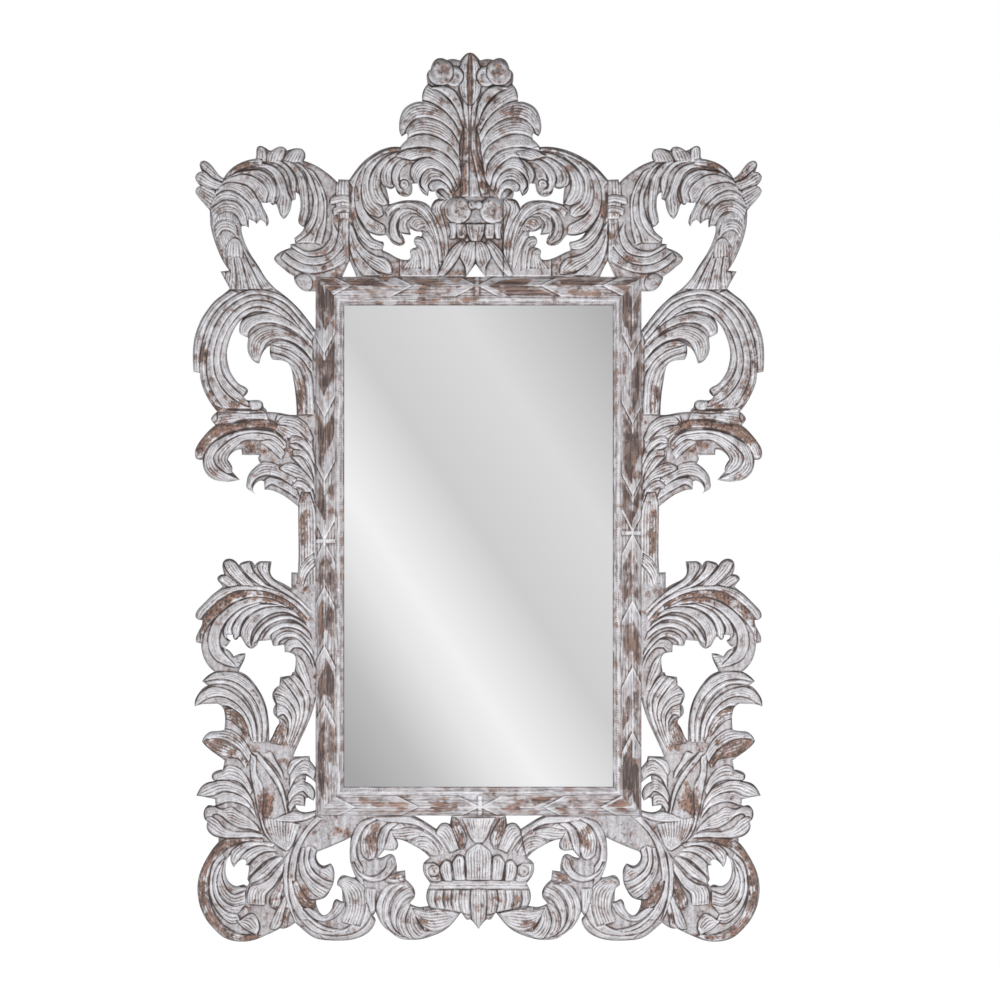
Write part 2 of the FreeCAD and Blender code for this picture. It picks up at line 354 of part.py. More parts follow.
# Raised leaves of the left half: each is the run between two edges, drawn from its root to its tip.
LEAF_PIXELS = {
    "shoulder_scroll": [
        ([(212, 209), (217, 205.5), (224, 202.5), (231, 202.5), (237, 205), (242, 210), (245, 217)],
         [(215, 217), (220, 212.5), (226, 210), (233, 210), (238, 214.5), (241, 221)]),
        ([(218, 191), (224, 186), (231, 184), (239, 185), (247, 188), (253, 194), (258, 202),
          (261.5, 210), (264.5, 218)],
         [(219, 196), (224, 192), (231, 191.5), (237, 194), (244, 199), (250, 205), (256, 214)]),
        ([(231, 178), (240, 174), (250, 172), (259, 172.5), (266, 176), (271, 182), (273.5, 190), (272, 198)],
         [(228, 181), (236, 178.5), (246, 177), (255, 178.5), (262, 184), (266.5, 191), (267, 197.5)]),
        ([(266, 163), (274, 164), (282, 168.5), (287.5, 177), (289.5, 187), (291.5, 195)],
         [(268, 167), (274.5, 171), (279, 179), (283, 190), (286, 199)]),
        ([(299, 166), (306, 174), (311, 185), (313.5, 197), (312.5, 209), (308, 219)],
         [(304, 166), (312, 175), (317, 186), (319.5, 198), (319, 209), (316, 220), (311, 228)]),
        ([(333, 222), (333, 232), (329, 241), (322, 247.5), (314, 250), (305, 250), (299, 247.5)],
         [(338.5, 233), (335, 243), (329, 250.5), (319, 255), (308, 255.5), (299, 252.5)]),
        ([(236, 280), (229, 264), (222.5, 248), (218, 232)],
         [(248, 280), (241, 264), (233, 248), (227, 232)]),
    ],
    "side_scroll": [
        ([(313, 334), (300, 318), (284, 300), (268, 294), (252, 293), (234, 300), (217, 317), (207, 339),
          (203, 362), (206, 385), (214, 402)],
         [(312, 341), (298, 325), (283, 309), (268, 301), (254, 300), (240, 306), (225, 322), (216, 343),
          (213.5, 360), (217, 379), (227, 394), (240, 404)]),
        ([(310, 345), (298, 330), (284, 318), (268, 313), (255, 315), (245, 321), (242, 328)],
         [(311, 350), (300, 338), (286, 328), (270, 323), (258, 324), (250, 330)]),
        ([(312, 362), (303, 352), (290, 343), (278, 341)],
         [(312, 372), (303, 364), (292, 357), (280, 357)]),
    ],
    "side_leaf": [
        ([(281, 430), (268, 422.5), (250, 423), (232, 426), (216, 431), (203, 443), (198, 453)],
         [(284, 438), (273, 430), (258, 427.5), (241, 430), (224, 436), (212, 446), (206, 454)]),
        ([(281, 445), (270, 439), (257, 435.5), (243, 437), (231, 443), (222, 452), (222, 461)],
         [(280, 451), (270, 446), (257, 443), (244, 444), (234, 447.5), (227.5, 453), (224.5, 461)]),
        ([(295, 481), (284, 473), (272, 467), (262, 466.5), (253.5, 472), (249.5, 479)],
         [(294, 487), (285, 480.5), (276, 475.5), (266, 473.5), (258, 476), (255, 479.5)]),
        ([(311, 441), (304, 430), (294, 422), (283, 419)],
         [(311, 450), (304, 439), (295, 431), (285, 427)]),
        ([(312, 466), (306, 455), (299, 449), (292, 446)],
         [(312, 476), (306, 465), (299, 458), (292, 454)]),
    ],
    "lower_leaf": [
        ([(305, 611), (296, 602), (283, 593.5), (268, 588.5), (250, 587.5), (233, 589), (219, 594),
          (208, 603), (199, 613)],
         [(302, 614), (294, 606), (281, 598), (266, 592.5), (250, 591), (236, 593), (223, 600),
          (212, 609), (203, 617)]),
        ([(286, 605), (271, 599.5), (255, 599), (241, 603), (228, 611), (217.5, 622), (212, 635),
          (212, 647), (217, 657), (227, 662)],
         [(270, 606), (254, 606), (242, 611), (231, 620), (223, 631), (221, 642), (223, 650), (229, 655)]),
        ([(290, 610), (275, 609), (262, 612), (252, 619), (245.5, 628), (244, 636), (248, 644)],
         [(294, 615), (283, 613), (271, 615.5), (260, 623), (253, 633), (251.5, 641)]),
        ([(306, 632), (296, 625), (284, 624), (274, 628), (267, 635)],
         [(307, 638), (298, 631), (287, 628.5), (278, 631), (271.5, 637.5)]),
        ([(309, 655), (304, 648), (297, 643), (290, 644), (287, 648)],
         [(311, 664), (307, 656), (300, 650), (294, 650)]),
        ([(296, 738), (302, 724), (305, 708), (302, 696), (294, 685), (285, 680)],
         [(293, 738), (298, 722), (299, 712), (297, 702), (290, 692), (283, 686)]),
        ([(290, 735), (293.5, 722), (292.5, 713), (287, 706), (279, 703)],
         [(287, 734), (289.5, 724), (288, 715), (283, 710), (277.5, 709)]),
    ],
    "plume": [
        ([(264, 738), (264, 720), (259, 701), (249.5, 686), (237, 677), (224, 674.5), (214, 676)],
         [(260, 738), (259, 722), (253.5, 705), (244, 692.5), (232, 684.5), (220, 681), (207, 682)]),
        ([(254, 738), (252, 724), (246, 710), (235, 698.5), (223, 692), (210, 691), (201, 696)],
         [(250.5, 738), (248, 726), (242, 714), (232, 704.5), (222, 700), (210, 700.5), (201, 703)]),
        ([(248, 752), (243, 743), (236, 736), (227, 733), (215, 733.5), (206, 738)],
         [(245, 757), (238, 749), (229, 743), (218, 740), (208, 741.5)]),
        ([(248, 796), (243, 789), (233, 784), (222, 783), (210, 786), (202, 791)],
         [(250, 803), (243, 797), (234, 792), (223, 790.5), (211, 794), (203, 795)]),
        ([(252, 834), (240, 831.5), (228, 827), (219, 820), (211, 812)],
         [(252, 836), (238, 835.5), (224, 832.5), (214, 827), (209, 818)]),
        ([(254, 757), (263, 769), (272, 781), (279, 795), (283, 808)],
         [(260, 758), (269, 769), (277, 780), (283, 792), (286, 803)]),
    ],
    "corner_scroll": [
        ([(221, 858), (213, 870), (211, 884), (213, 897), (220, 907), (230, 913), (238, 914)],
         [(223, 860), (218.5, 869), (218, 880), (222, 889), (229, 896), (238, 898)]),
        ([(270, 844), (258, 844), (247, 847), (238, 852), (233.5, 858)],
         [(273, 847), (261, 848.5), (251, 852), (244, 856)]),
        ([(277, 855), (268, 859), (259, 865), (252, 871)],
         [(280, 858), (271, 865), (262, 872), (254, 877)]),
        ([(284, 864), (277, 876), (272, 888)],
         [(285.5, 868), (281, 882), (278, 895)]),
    ],
    "apron_scroll": [
        ([(301, 842), (294, 858), (292, 880), (294, 902), (302, 918), (315, 929), (334, 934),
          (352, 931), (366, 922)],
         [(305, 842), (299, 858), (297, 880), (299, 898), (306, 911), (317, 920), (334, 924), (350, 920)]),
        ([(308, 884), (315, 893), (322, 894), (328, 888), (331, 878), (330, 870)],
         [(306, 876), (314, 876), (322, 872), (327, 868)]),
        ([(424, 836), (410, 829), (396, 826), (381, 829), (370, 838), (366, 848), (367, 855)],
         [(420, 840), (408, 834), (397, 831), (386, 836), (380, 844), (378, 851)]),
        ([(357, 868), (363, 876), (374, 879), (386, 876), (393, 869)],
         [(362, 866), (370, 871), (380, 871), (388, 866)]),
        ([(400, 885), (389, 891), (382, 901), (380, 912), (385, 922), (395, 930)],
         [(403, 889), (394, 894), (388, 904), (388, 915), (394, 925), (402, 932)]),
        ([(407, 896), (400, 901), (396, 910), (397, 920), (403, 929)],
         [(408, 901), (404, 907), (402, 916), (406, 926), (412, 932)]),
        ([(347, 882), (350, 892), (351, 904), (348, 915)],
         [(357, 883), (361, 893), (360, 905), (355, 916)]),
    ],
    "crest_scroll": [
        ([(396, 153), (386, 158), (377, 166), (373, 175), (371, 184), (372, 193), (376, 200)],
         [(400, 155), (391, 160), (384, 167), (380.5, 177), (381, 187), (384.5, 196)]),
        ([(364, 170), (359, 180), (357, 192), (357.5, 203), (361, 214), (367, 223), (373, 228)],
         [(363, 183), (362.5, 195), (365.5, 207), (371, 215), (377.5, 221), (381, 226)]),
        ([(353, 232), (357, 246), (366, 257), (376, 265), (386, 269)],
         [(358, 234), (366, 246), (376, 253.5), (385, 258), (390, 266)]),
        ([(441, 252), (438.5, 236), (432.5, 221), (423, 209.5), (412, 203.5), (401, 204), (392, 207)],
         [(437, 252), (434, 238), (428, 224), (419, 213), (409, 208.5), (400, 209), (394, 213)]),
        ([(427, 268), (427.5, 256), (425, 246), (420.5, 240), (416.8, 239.8)],
         [(421, 266), (420.5, 257), (420, 249.5)]),
    ],
    "crest_centre": [
        ([(457, 118), (449, 104), (440, 96), (432, 91), (428, 88)],
         [(455, 122), (447, 110), (438, 102.5), (430, 98), (425.5, 97)]),
        ([(458, 132), (450, 119), (440, 109.5), (430, 105), (418, 104), (409, 108), (404, 116), (402, 126)],
         [(456, 136), (449, 126), (441, 119), (431, 115.5), (421, 115), (412, 119), (406, 128)]),
        ([(456, 146), (448, 133), (439, 127), (428, 124.5), (417, 126), (410, 131)],
         [(455, 150), (446, 139.5), (436, 133), (425, 131), (414, 133.5), (409.5, 137)]),
        ([(456, 163), (449, 150), (440, 143), (428, 139), (416, 140), (407, 144)],
         [(456, 170), (450, 158), (441, 149.5), (429, 144.5), (417, 145), (409, 146)]),
        ([(455, 187), (448.5, 174), (439, 167), (429, 165), (422, 170), (420, 178), (421, 185)],
         [(452, 190), (446, 181), (438, 175), (430, 175), (426, 181), (425.5, 188)]),
        ([(449.5, 209), (452, 202), (458, 199), (465, 201), (468.5, 209)],
         [(449.5, 211), (452, 218), (458, 220.5), (465, 218), (468.5, 211)]),
        ([(430, 80), (428.8, 74), (431, 67), (437, 61), (444, 61), (450, 66)],
         [(433, 83), (441, 83), (449, 79), (452, 72)]),
        ([(466, 95), (464, 84), (463.5, 72), (465, 62), (468, 56)],
         [(468.8, 95), (468.6, 80), (468.6, 65), (469, 57)]),
        ([(457, 244), (451, 250), (448.5, 258), (448.5, 266)],
         [(463, 243), (457, 253), (453, 263), (452, 270)]),
    ],
    "apron_shell": [
        ([(468, 879), (468, 862), (470, 850), (476, 845)],
         [(476.5, 879), (476.5, 862), (477, 850)]),
        ([(454, 879), (454, 866), (457, 860), (462, 859)],
         [(463, 879), (463.5, 868), (463.5, 862)]),
        ([(429, 879), (426, 873), (427, 867), (433, 864.5)],
         [(436, 879), (436, 872), (436.5, 867)]),
        ([(433, 890), (430, 897), (432, 904)],
         [(444, 890), (442.5, 898), (444, 905)]),
        ([(449, 890), (448, 898), (450, 906)],
         [(461, 890), (460, 900), (462, 908)]),
        ([(440, 831), (446, 829), (451, 834), (457, 844)],
         [(440, 837), (446, 842), (452, 849)]),
    ],
}

# Rows or columns of the dowels on each edge of the frame, left half, in the same pixel coordinates.
DOWEL_PIXELS = {
    "left": [350, 400, 430, 490, 531, 590, 640, 680],
    "top": [330, 375, 435, 456],
    "bottom": [335, 395, 465],
}

# Battens over the joints: middle in pixel coordinates, sheet sizes, upright or not, and its screws
# as shares of its width and length from its middle.
LINE_SHARES = [(0, -0.36), (0, 0.36)]
FOUR_SHARES = [(-0.28, -0.4), (0.28, -0.4), (-0.28, 0.4), (0.28, 0.4)]
BATTENS = [
    ("shoulder_batten", (242, 284), "joint_batten_width", "shoulder_batten_length", True, LINE_SHARES),
    ("crest_batten", (447, 252.5), "crest_batten_width", "crest_batten_length", True, FOUR_SHARES),
    ("leaf_batten", (283, 748), "joint_batten_width", "joint_batten_length", True, LINE_SHARES),
    ("corner_batten", (309, 829), "joint_batten_width", "corner_batten_length", False, LINE_SHARES),
    ("plume_batten", (262, 842), "joint_batten_width", "joint_batten_length", True, LINE_SHARES),
    ("foot_batten", (291, 880), "joint_batten_width", "joint_batten_length", False, LINE_SHARES),
]
APRON_BATTEN = ("apron_batten", (478.5, 838), "apron_batten_width", "apron_batten_length", True, FOUR_SHARES)

BOARD_SCREW_HEIGHT_SHARES = [-0.42, -0.14, 0.14, 0.42]
BOARD_SCREW_WIDTH_SHARES = [-0.25, 0.25]

doc = FreeCAD.newDocument("carved_mirror")
sheet = doc.addObject("Spreadsheet::Sheet", "sizes")
for row, (alias, value, note) in enumerate(SIZES, start=1):
    sheet.set("A%d" % row, alias)
    sheet.set("B%d" % row, str(value))
    sheet.set("C%d" % row, note)
    sheet.setAlias("B%d" % row, alias)
doc.recompute()


def size(alias):
    return float(sheet.get(alias))


def in_sheet(text):
    return re.sub(r"[a-z][a-z_]+", lambda word: "sizes." + word.group(), text)


def bind(thing, **expressions):
    # Each keyword is a property, and x, y and z are the place of the object's base point.
    for name, text in expressions.items():
        path = "Placement.Base." + name if name in ("x", "y", "z") else name
        thing.setExpression(path, in_sheet(text))
    return thing


# Reference picture to the mirror's own frame: the frame's edges and the reach of the carving are
# fixed by their sizes, and everything between follows them.
def stretch(distance, inner, outer, inner_size, outer_size):
    side = -1 if distance < 0 else 1
    distance = abs(distance)
    if distance <= inner:
        return side * distance / inner * inner_size
    return side * (inner_size + (distance - inner) / (outer - inner) * outer_size)


def place(pixel):
    column, row = pixel
    middle_row = (FRAME_TOP_ROW + FRAME_BOTTOM_ROW) / 2
    half_rows = (FRAME_BOTTOM_ROW - FRAME_TOP_ROW) / 2
    x = stretch(column - AXIS_COLUMN, AXIS_COLUMN - FRAME_LEFT_COLUMN, AXIS_COLUMN - REACH_COLUMN,
                size("frame_width") / 2, size("side_reach"))
    if row < middle_row:
        outer_rows, outer_size = middle_row - CREST_TOP_ROW, size("crest_rise")
    else:
        outer_rows, outer_size = APRON_END_ROW - middle_row, size("apron_drop")
    z = stretch(middle_row - row, half_rows, outer_rows, size("frame_height") / 2, outer_size)
    return Vector(x, 0, z)


def blend(value, first, last):
    return min(max((value - first) / (last - first), 0), 1)


# The other half of the carving. Above the frame the middle line leans, as blend gives it.
def mirrored(pixel):
    column, row = pixel
    axis = AXIS_COLUMN
    if row < FRAME_TOP_ROW and column > CREST_SEAM_COLUMN:
        top_column, top_row = CREST_AXIS_TOP
        foot_column, foot_row = CREST_AXIS_FOOT
        crest_axis = top_column + (foot_column - top_column) * blend(row, top_row, foot_row)
        axis += (crest_axis - axis) * blend(column, CREST_SEAM_COLUMN, CREST_AXIS_COLUMN)
    elif row == FRAME_TOP_ROW and column > CREST_AXIS_COLUMN:
        axis = CREST_AXIS_FOOT[0]
    return (2 * axis - column, row)


def edge(points):
    if len(points) == 2:
        return Part.makeLine(points[0], points[1])
    curve = Part.BSplineCurve()
    curve.interpolate(points)
    return curve.toShape()


def outline_edges(runs, on_right):
    flip = mirrored if on_right else tuple
    points = [[place(flip(pixel)) for pixel in run] for run in runs]
    edges = []
    last = points[0][-1]
    for run in points[1:]:
        edges.append(edge([last] + run))
        last = run[-1]
    return edges


def leaf_face(first_edge, second_edge, on_right):
    flip = mirrored if on_right else tuple
    first = [place(flip(pixel)) for pixel in first_edge]
    second = [place(flip(pixel)) for pixel in reversed(second_edge)]
    return Part.Face(Part.Wire([edge(first), edge([first[-1], second[0]]), edge(second),
                                edge([second[-1], first[0]])]))


def plank(edges, hole_edges, leaves, height):
    wires = [Part.Wire(edges)]
    if hole_edges:
        wires.append(Part.Wire(hole_edges))
    face = Part.makeFace(wires, "Part::FaceMakerBullseye")
    solid = face.extrude(Vector(0, -size("plank_thickness"), 0))
    prisms = []
    for leaf in leaves:
        leaf.translate(Vector(0, -size("plank_thickness"), 0))
        prisms.append(leaf.extrude(Vector(0, -height, 0)))
    if prisms:
        solid = solid.fuse(prisms)
    return solid


def feature(name, shape):
    made = doc.addObject("Part::Feature", name)
    made.Shape = shape
    return made


def box(name, **expressions):
    return bind(doc.addObject("Part::Box", name), **expressions)


def cut(name, base, tool):
    made = doc.addObject("Part::Cut", name)
    made.Base = base
    made.Tool = tool
    return made


def group(name, things):
    made = doc.addObject("Part::Compound", name)
    made.Links = things
    return made


parts = []


def keep(made, label):
    made.Label = label
    parts.append(made)
    return made


# Dowels, and the bores for them in the frame and the planks.
def dowel(name, pixel, upright, grow):
    made = doc.addObject("Part::Cylinder", name)
    bind(made, Radius="dowel_radius + %s" % grow, Height="dowel_length + 2 * (%s)" % grow)
    half = size("dowel_length") / 2 + (size("dowel_clearance") if grow != "0" else 0)
    middle = place(pixel) + Vector(0, -size("dowel_depth"), 0)
    if upright:
        made.Placement = Placement(middle - Vector(0, 0, half), Rotation())
    else:
        made.Placement = Placement(middle - Vector(half, 0, 0), Rotation(Vector(0, 1, 0), 90))
    return made


def dowel_places():
    places = {"left": [], "right": [], "top": [], "bottom": []}
    for row in DOWEL_PIXELS["left"]:
        places["left"].append((FRAME_LEFT_COLUMN, row))
        places["right"].append(mirrored((FRAME_LEFT_COLUMN, row)))
    for side, row in (("top", FRAME_TOP_ROW), ("bottom", FRAME_BOTTOM_ROW)):
        for column in DOWEL_PIXELS[side]:
            places[side].append((column, row))
            places[side].append(mirrored((column, row)))
    return places


dowel_bores = []
for side, pixels in dowel_places().items():
    upright = side in ("top", "bottom")
    dowels = []
    for number, pixel in enumerate(pixels):
        dowels.append(dowel("dowel_%s_%d" % (side, number), pixel, upright, "0"))
        dowel_bores.append(dowel("dowel_bore_%s_%d" % (side, number), pixel, upright, "dowel_clearance"))
    keep(group("dowels_" + side, dowels), "dowels_" + side)


# A screw stands on its head, with its point along +Z, and grow is the play of the hole cut for it.
def screw(name, length, countersunk, grow):
    shank = bind(doc.addObject("Part::Cylinder", name + "_shank"),
                 Radius="screw_radius + %s" % grow, Height="%s - screw_tip_length" % length)
    tip = bind(doc.addObject("Part::Cone", name + "_tip"), Radius1="screw_radius + %s" % grow,
               Radius2="%s" % grow, Height="screw_tip_length + %s" % grow,
               z="%s - screw_tip_length" % length)
    if countersunk:
        head = bind(doc.addObject("Part::Cone", name + "_head"), Radius1="screw_head_radius + %s" % grow,
                    Radius2="screw_radius + %s" % grow, Height="screw_head_height")
    else:
        head = bind(doc.addObject("Part::Cylinder", name + "_head"), Radius="screw_head_radius",
                    Height="screw_head_height", z="-screw_head_height")
    made = doc.addObject("Part::MultiFuse", name)
    made.Shapes = [shank, tip, head]
    return made


screw_kinds = {}
strap_screw_length = "dowel_depth - dowel_radius + strap_thickness - strap_screw_gap"
for kind, length, countersunk in (("batten_screw", "batten_screw_length", True),
                                  ("board_screw", "board_screw_length", True),
                                  ("strap_screw", strap_screw_length, False)):
    for suffix, grow in (("", "0"), ("_bore", "screw_clearance")):
        screw_kinds[kind + suffix] = screw(kind + suffix, length, countersunk, grow)
doc.recompute()

INTO_WOOD = Rotation(Vector(1, 0, 0), 90)


def screws_at(kind, heads):
    copies = []
    for head in heads:
        copy = screw_kinds[kind].Shape.copy()
        copy.Placement = Placement(head, INTO_WOOD)
        copies.append(copy)
    return Part.makeCompound(copies)


def batten_spots(pixel, width, length, upright, shares):
    middle = place(pixel)
    spots = []
    for across, along in shares:
        offset = (across * size(width), along * size(length))
        if not upright:
            offset = (offset[1], offset[0])
        spots.append(middle + Vector(offset[0], size("batten_thickness"), offset[1]))
    return spots


battens = []
for name, pixel, width, length, upright, shares in BATTENS:
    battens.append((name + "_left", pixel, width, length, upright, shares))
    battens.append((name + "_right", mirrored(pixel), width, length, upright, shares))
battens.append(APRON_BATTEN)
batten_heads = []
for batten in battens:
    batten_heads += batten_spots(*batten[1:])
batten_bores = feature("batten_bores", screws_at("batten_screw_bore", batten_heads))
keep(feature("batten_screws", screws_at("batten_screw", batten_heads)), "batten_screws")
for name, pixel, width, length, upright, shares in battens:
    across, along = (width, length) if upright else (length, width)
    blank = box(name + "_blank", Length=across, Width="batten_thickness", Height=along)
    blank.Placement.Base = place(pixel) - Vector(size(across) / 2, 0, size(along) / 2)
    keep(cut(name, blank, batten_bores), name)

# Screws of the backing board sit in the step of the rebate, round its four sides.
ledge = size("moulding_width") - (size("board_rebate") + size("glass_rebate")) / 2
ledge_x = size("frame_width") / 2 - ledge
ledge_z = size("frame_height") / 2 - ledge
board_heads = []
for side in (-1, 1):
    for share in BOARD_SCREW_HEIGHT_SHARES:
        board_heads.append(Vector(side * ledge_x, 0, share * size("frame_height")))
    for share in BOARD_SCREW_WIDTH_SHARES:
        board_heads.append(Vector(share * size("frame_width"), 0, side * ledge_z))
board_bores = feature("board_bores", screws_at("board_screw_bore", board_heads))
keep(feature("backing_screws", screws_at("board_screw", board_heads)), "backing_screws")

# Hangers: a strap with a loop, and a ring that swings in it.
loop_radius = "ring_wire_radius + ring_clearance"
strap_top = "frame_height / 2 - strap_drop"
bar_height = "ring_wire_radius + ring_clearance + strap_thickness"
strap_heads = []
for side in (-1, 1):
    for drop in ("first_strap_screw", "second_strap_screw"):
        strap_heads.append(Vector(side * (size("frame_width") / 2 - size("strap_inset")),
                                  size("strap_thickness"), size("frame_height") / 2 - size("strap_drop") - size(drop)))
strap_bores = feature("strap_bores", screws_at("strap_screw_bore", strap_heads))
keep(feature("strap_screws", screws_at("strap_screw", strap_heads)), "strap_screws")


def hanger(side_name, side):
    middle = "%d * (frame_width / 2 - strap_inset)" % side
    plate = box("strap_plate_" + side_name, Length="strap_width", Width="strap_thickness",
                Height="strap_length", x=middle + " - strap_width / 2", z=strap_top + " - strap_length")
    loop = doc.addObject("Part::Cylinder", "strap_loop_" + side_name)
    hole = doc.addObject("Part::Cylinder", "strap_hole_" + side_name)
    for tube, radius, length in ((loop, bar_height, "strap_width"),
                                 (hole, loop_radius, "strap_width + 2 * overrun")):
        tube.Placement.Rotation = Rotation(Vector(0, 1, 0), 90)
        bind(tube, Radius=radius, Height=length, x="%s - (%s) / 2" % (middle, length), y=bar_height,
             z=strap_top)
    curled = doc.addObject("Part::Fuse", "strap_curled_" + side_name)
    curled.Base = plate
    curled.Tool = loop
    holes = doc.addObject("Part::Compound", "strap_holes_" + side_name)
    holes.Links = [hole, strap_bores]
    keep(cut("hanger_strap_" + side_name, curled, holes), "hanger_strap_" + side_name)

    # The ring hangs from its bar: two corners and a half-round bow, all of one wire.
    bar = doc.addObject("Part::Cylinder", "ring_bar_" + side_name)
    bar.Placement.Rotation = Rotation(Vector(0, 1, 0), 90)
    bar_half = "(ring_bow_radius - ring_corner_radius)"
    bind(bar, Radius="ring_wire_radius", Height="2 * " + bar_half, x=middle + " - " + bar_half,
         y=bar_height, z=strap_top)
    bends = [bar]
    half_turn, quarter_turn = 180, 90
    for number, (radius, turn, start, offset) in enumerate((
            ("ring_bow_radius", half_turn, half_turn, "0"),
            ("ring_corner_radius", quarter_turn, 0, bar_half),
            ("ring_corner_radius", quarter_turn, quarter_turn, "-" + bar_half))):
        bend = doc.addObject("Part::Torus", "ring_bend_%d_%s" % (number, side_name))
        bend.Angle3 = turn
        bend.Placement.Rotation = (Rotation(Vector(1, 0, 0), quarter_turn)
                                   * Rotation(Vector(0, 0, 1), start))
        bind(bend, Radius1=radius, Radius2="ring_wire_radius", x="%s + %s" % (middle, offset),
             y=bar_height, z=strap_top + " - ring_corner_radius")
        bends.append(bend)
    ring = doc.addObject("Part::MultiFuse", "ring_" + side_name)
    ring.Shapes = bends
    keep(ring, "hanging_ring_" + side_name)

    bumper = doc.addObject("Part::Cone", "bumper_" + side_name)
    bumper.Placement.Rotation = Rotation(Vector(1, 0, 0), -quarter_turn)
    bind(bumper, Radius1="bumper_radius", Radius2="bumper_tip_radius", Height="bumper_thickness",
         x=middle, z="bumper_rise - frame_height / 2")
    keep(bumper, "wall_bumper_" + side_name)


hanger("left", -1)
hanger("right", 1)

# Cross-section of the moulding: distance in from the outer edge, and distance in front of the back.
glass_seat = "(board_thickness + strip_thickness + glass_thickness)"
PROFILE = [
    ("0", "0"),
    ("moulding_width - board_rebate", "0"),
    ("moulding_width - board_rebate", "board_thickness"),
    ("moulding_width - glass_rebate", "board_thickness"),
    ("moulding_width - glass_rebate", glass_seat),
    ("moulding_width", glass_seat),
    ("moulding_width", glass_seat + " + lip_thickness"),
    ("moulding_width - cove_width", "foot_thickness"),
    ("moulding_width - cove_width - flat_width", "foot_thickness"),
    ("ridge_inset", "ridge_thickness"),
    ("0", "edge_thickness"),
]


def origin_plane(body, role):
    return [plane for plane in body.Origin.OriginFeatures if plane.Role == role][0]


# A closed polygon whose corners are held by sheet expressions. The start places only order them.
def polygon_sketch(body, name, role, polygons):
    sketch = body.newObject("Sketcher::SketchObject", name)
    sketch.AttachmentSupport = (origin_plane(body, role), [""])
    sketch.MapMode = "FlatFace"
    first, last = 1, 2
    count = 0
    for corners in polygons:
        total = len(corners)
        starts = [Rotation(Vector(0, 0, 1), 360 * number / total).multVec(Vector(total, 0, 0))
                  for number in range(total)]
        for number in range(total):
            sketch.addGeometry(Part.LineSegment(starts[number], starts[(number + 1) % total]), False)
        for number in range(total):
            follower = count + (number + 1) % total
            sketch.addConstraint(Sketcher.Constraint("Coincident", count + number, last, follower, first))
        for number, corner in enumerate(corners):
            for kind, start, text in zip(("DistanceX", "DistanceY"), starts[number], corner):
                index = sketch.addConstraint(
                    Sketcher.Constraint(kind, -1, first, count + number, first, start))
                sketch.setExpression("Constraints[%d]" % index, in_sheet(text))
        count += total
    return sketch


def moulding(name, along_z, side):
    across, along = ("frame_width", "frame_height") if along_z else ("frame_height", "frame_width")
    body = doc.addObject("PartDesign::Body", name + "_body")
    corners = []
    for inset, depth in PROFILE:
        out = "%d * (%s / 2 - (%s))" % (side, across, inset)
        back = "-(%s)" % depth
        corners.append((out, back) if along_z else (back, out))
    profile = polygon_sketch(body, name + "_profile", "XY_Plane" if along_z else "YZ_Plane", [corners])
    pad = body.newObject("PartDesign::Pad", name + "_pad")
    pad.Profile = profile
    pad.SideType = "Symmetric"
    bind(pad, Length=along)
    doc.recompute()
    triangles = []
    for end in (-1, 1):
        sx, sz = (side, end) if along_z else (end, side)
        outer = ("%d * (frame_width / 2 + overrun)" % sx, "%d * (frame_height / 2 + overrun)" % sz)
        inner = ("%d * (frame_width / 2 - moulding_width - overrun)" % sx,
                 "%d * (frame_height / 2 - moulding_width - overrun)" % sz)
        third = (inner[0], outer[1]) if along_z else (outer[0], inner[1])
        triangles.append([outer, inner, third])
    mitres = polygon_sketch(body, name + "_mitres", "XZ_Plane", triangles)
    pocket = body.newObject("PartDesign::Pocket", name + "_mitre_cut")
    pocket.Profile = mitres
    pocket.SideType = "Symmetric"
    bind(pocket, Length="2 * (ridge_thickness + overrun)")
    doc.recompute()
    if pocket.Shape.Volume >= pad.Shape.Volume:
        raise RuntimeError(name + ": the mitres cut nothing")
    return body


frame_bores = group("frame_bores", dowel_bores + [batten_bores, board_bores, strap_bores])
for name, along_z, side in (("stile_left", True, -1), ("stile_right", True, 1),
                            ("rail_top", False, 1), ("rail_bottom", False, -1)):
    keep(cut(name, moulding(name, along_z, side), frame_bores), name)

# Glass, glazing strips and backing board lie in the rebate, one behind the other.
sight_width = "(frame_width - 2 * moulding_width)"
sight_height = "(frame_height - 2 * moulding_width)"
glass_grow = "2 * (glass_rebate - glass_clearance)"
glass = box("glass", Length="%s + %s" % (sight_width, glass_grow), Width="glass_thickness",
            Height="%s + %s" % (sight_height, glass_grow),
            x="-(%s + %s) / 2" % (sight_width, glass_grow), y="-" + glass_seat,
            z="-(%s + %s) / 2" % (sight_height, glass_grow))
keep(glass, "mirror_glass")
strip_back = "-(board_thickness + strip_thickness)"
for side_name, side in (("left", -1), ("right", 1)):
    upright = box("strip_" + side_name, Length="strip_width", Width="strip_thickness",
                  Height="%s + %s" % (sight_height, glass_grow),
                  x="%d * (%s / 2 + strip_width / 2) - strip_width / 2" % (side, sight_width),
                  y=strip_back, z="-(%s + %s) / 2" % (sight_height, glass_grow))
    keep(upright, "glazing_strip_" + side_name)
for side_name, side in (("top", 1), ("bottom", -1)):
    level = box("strip_" + side_name, Length=sight_width, Width="strip_thickness", Height="strip_width",
                x="-%s / 2" % sight_width, y=strip_back,
                z="%d * (%s / 2 + strip_width / 2) - strip_width / 2" % (side, sight_height))
    keep(level, "glazing_strip_" + side_name)
board_grow = "2 * (board_rebate - board_clearance)"
board = box("board_blank", Length="%s + %s" % (sight_width, board_grow), Width="board_thickness",
            Height="%s + %s" % (sight_height, board_grow),
            x="-(%s + %s) / 2" % (sight_width, board_grow), y="-board_thickness",
            z="-(%s + %s) / 2" % (sight_height, board_grow))
keep(cut("backing_board", board, board_bores), "backing_board")

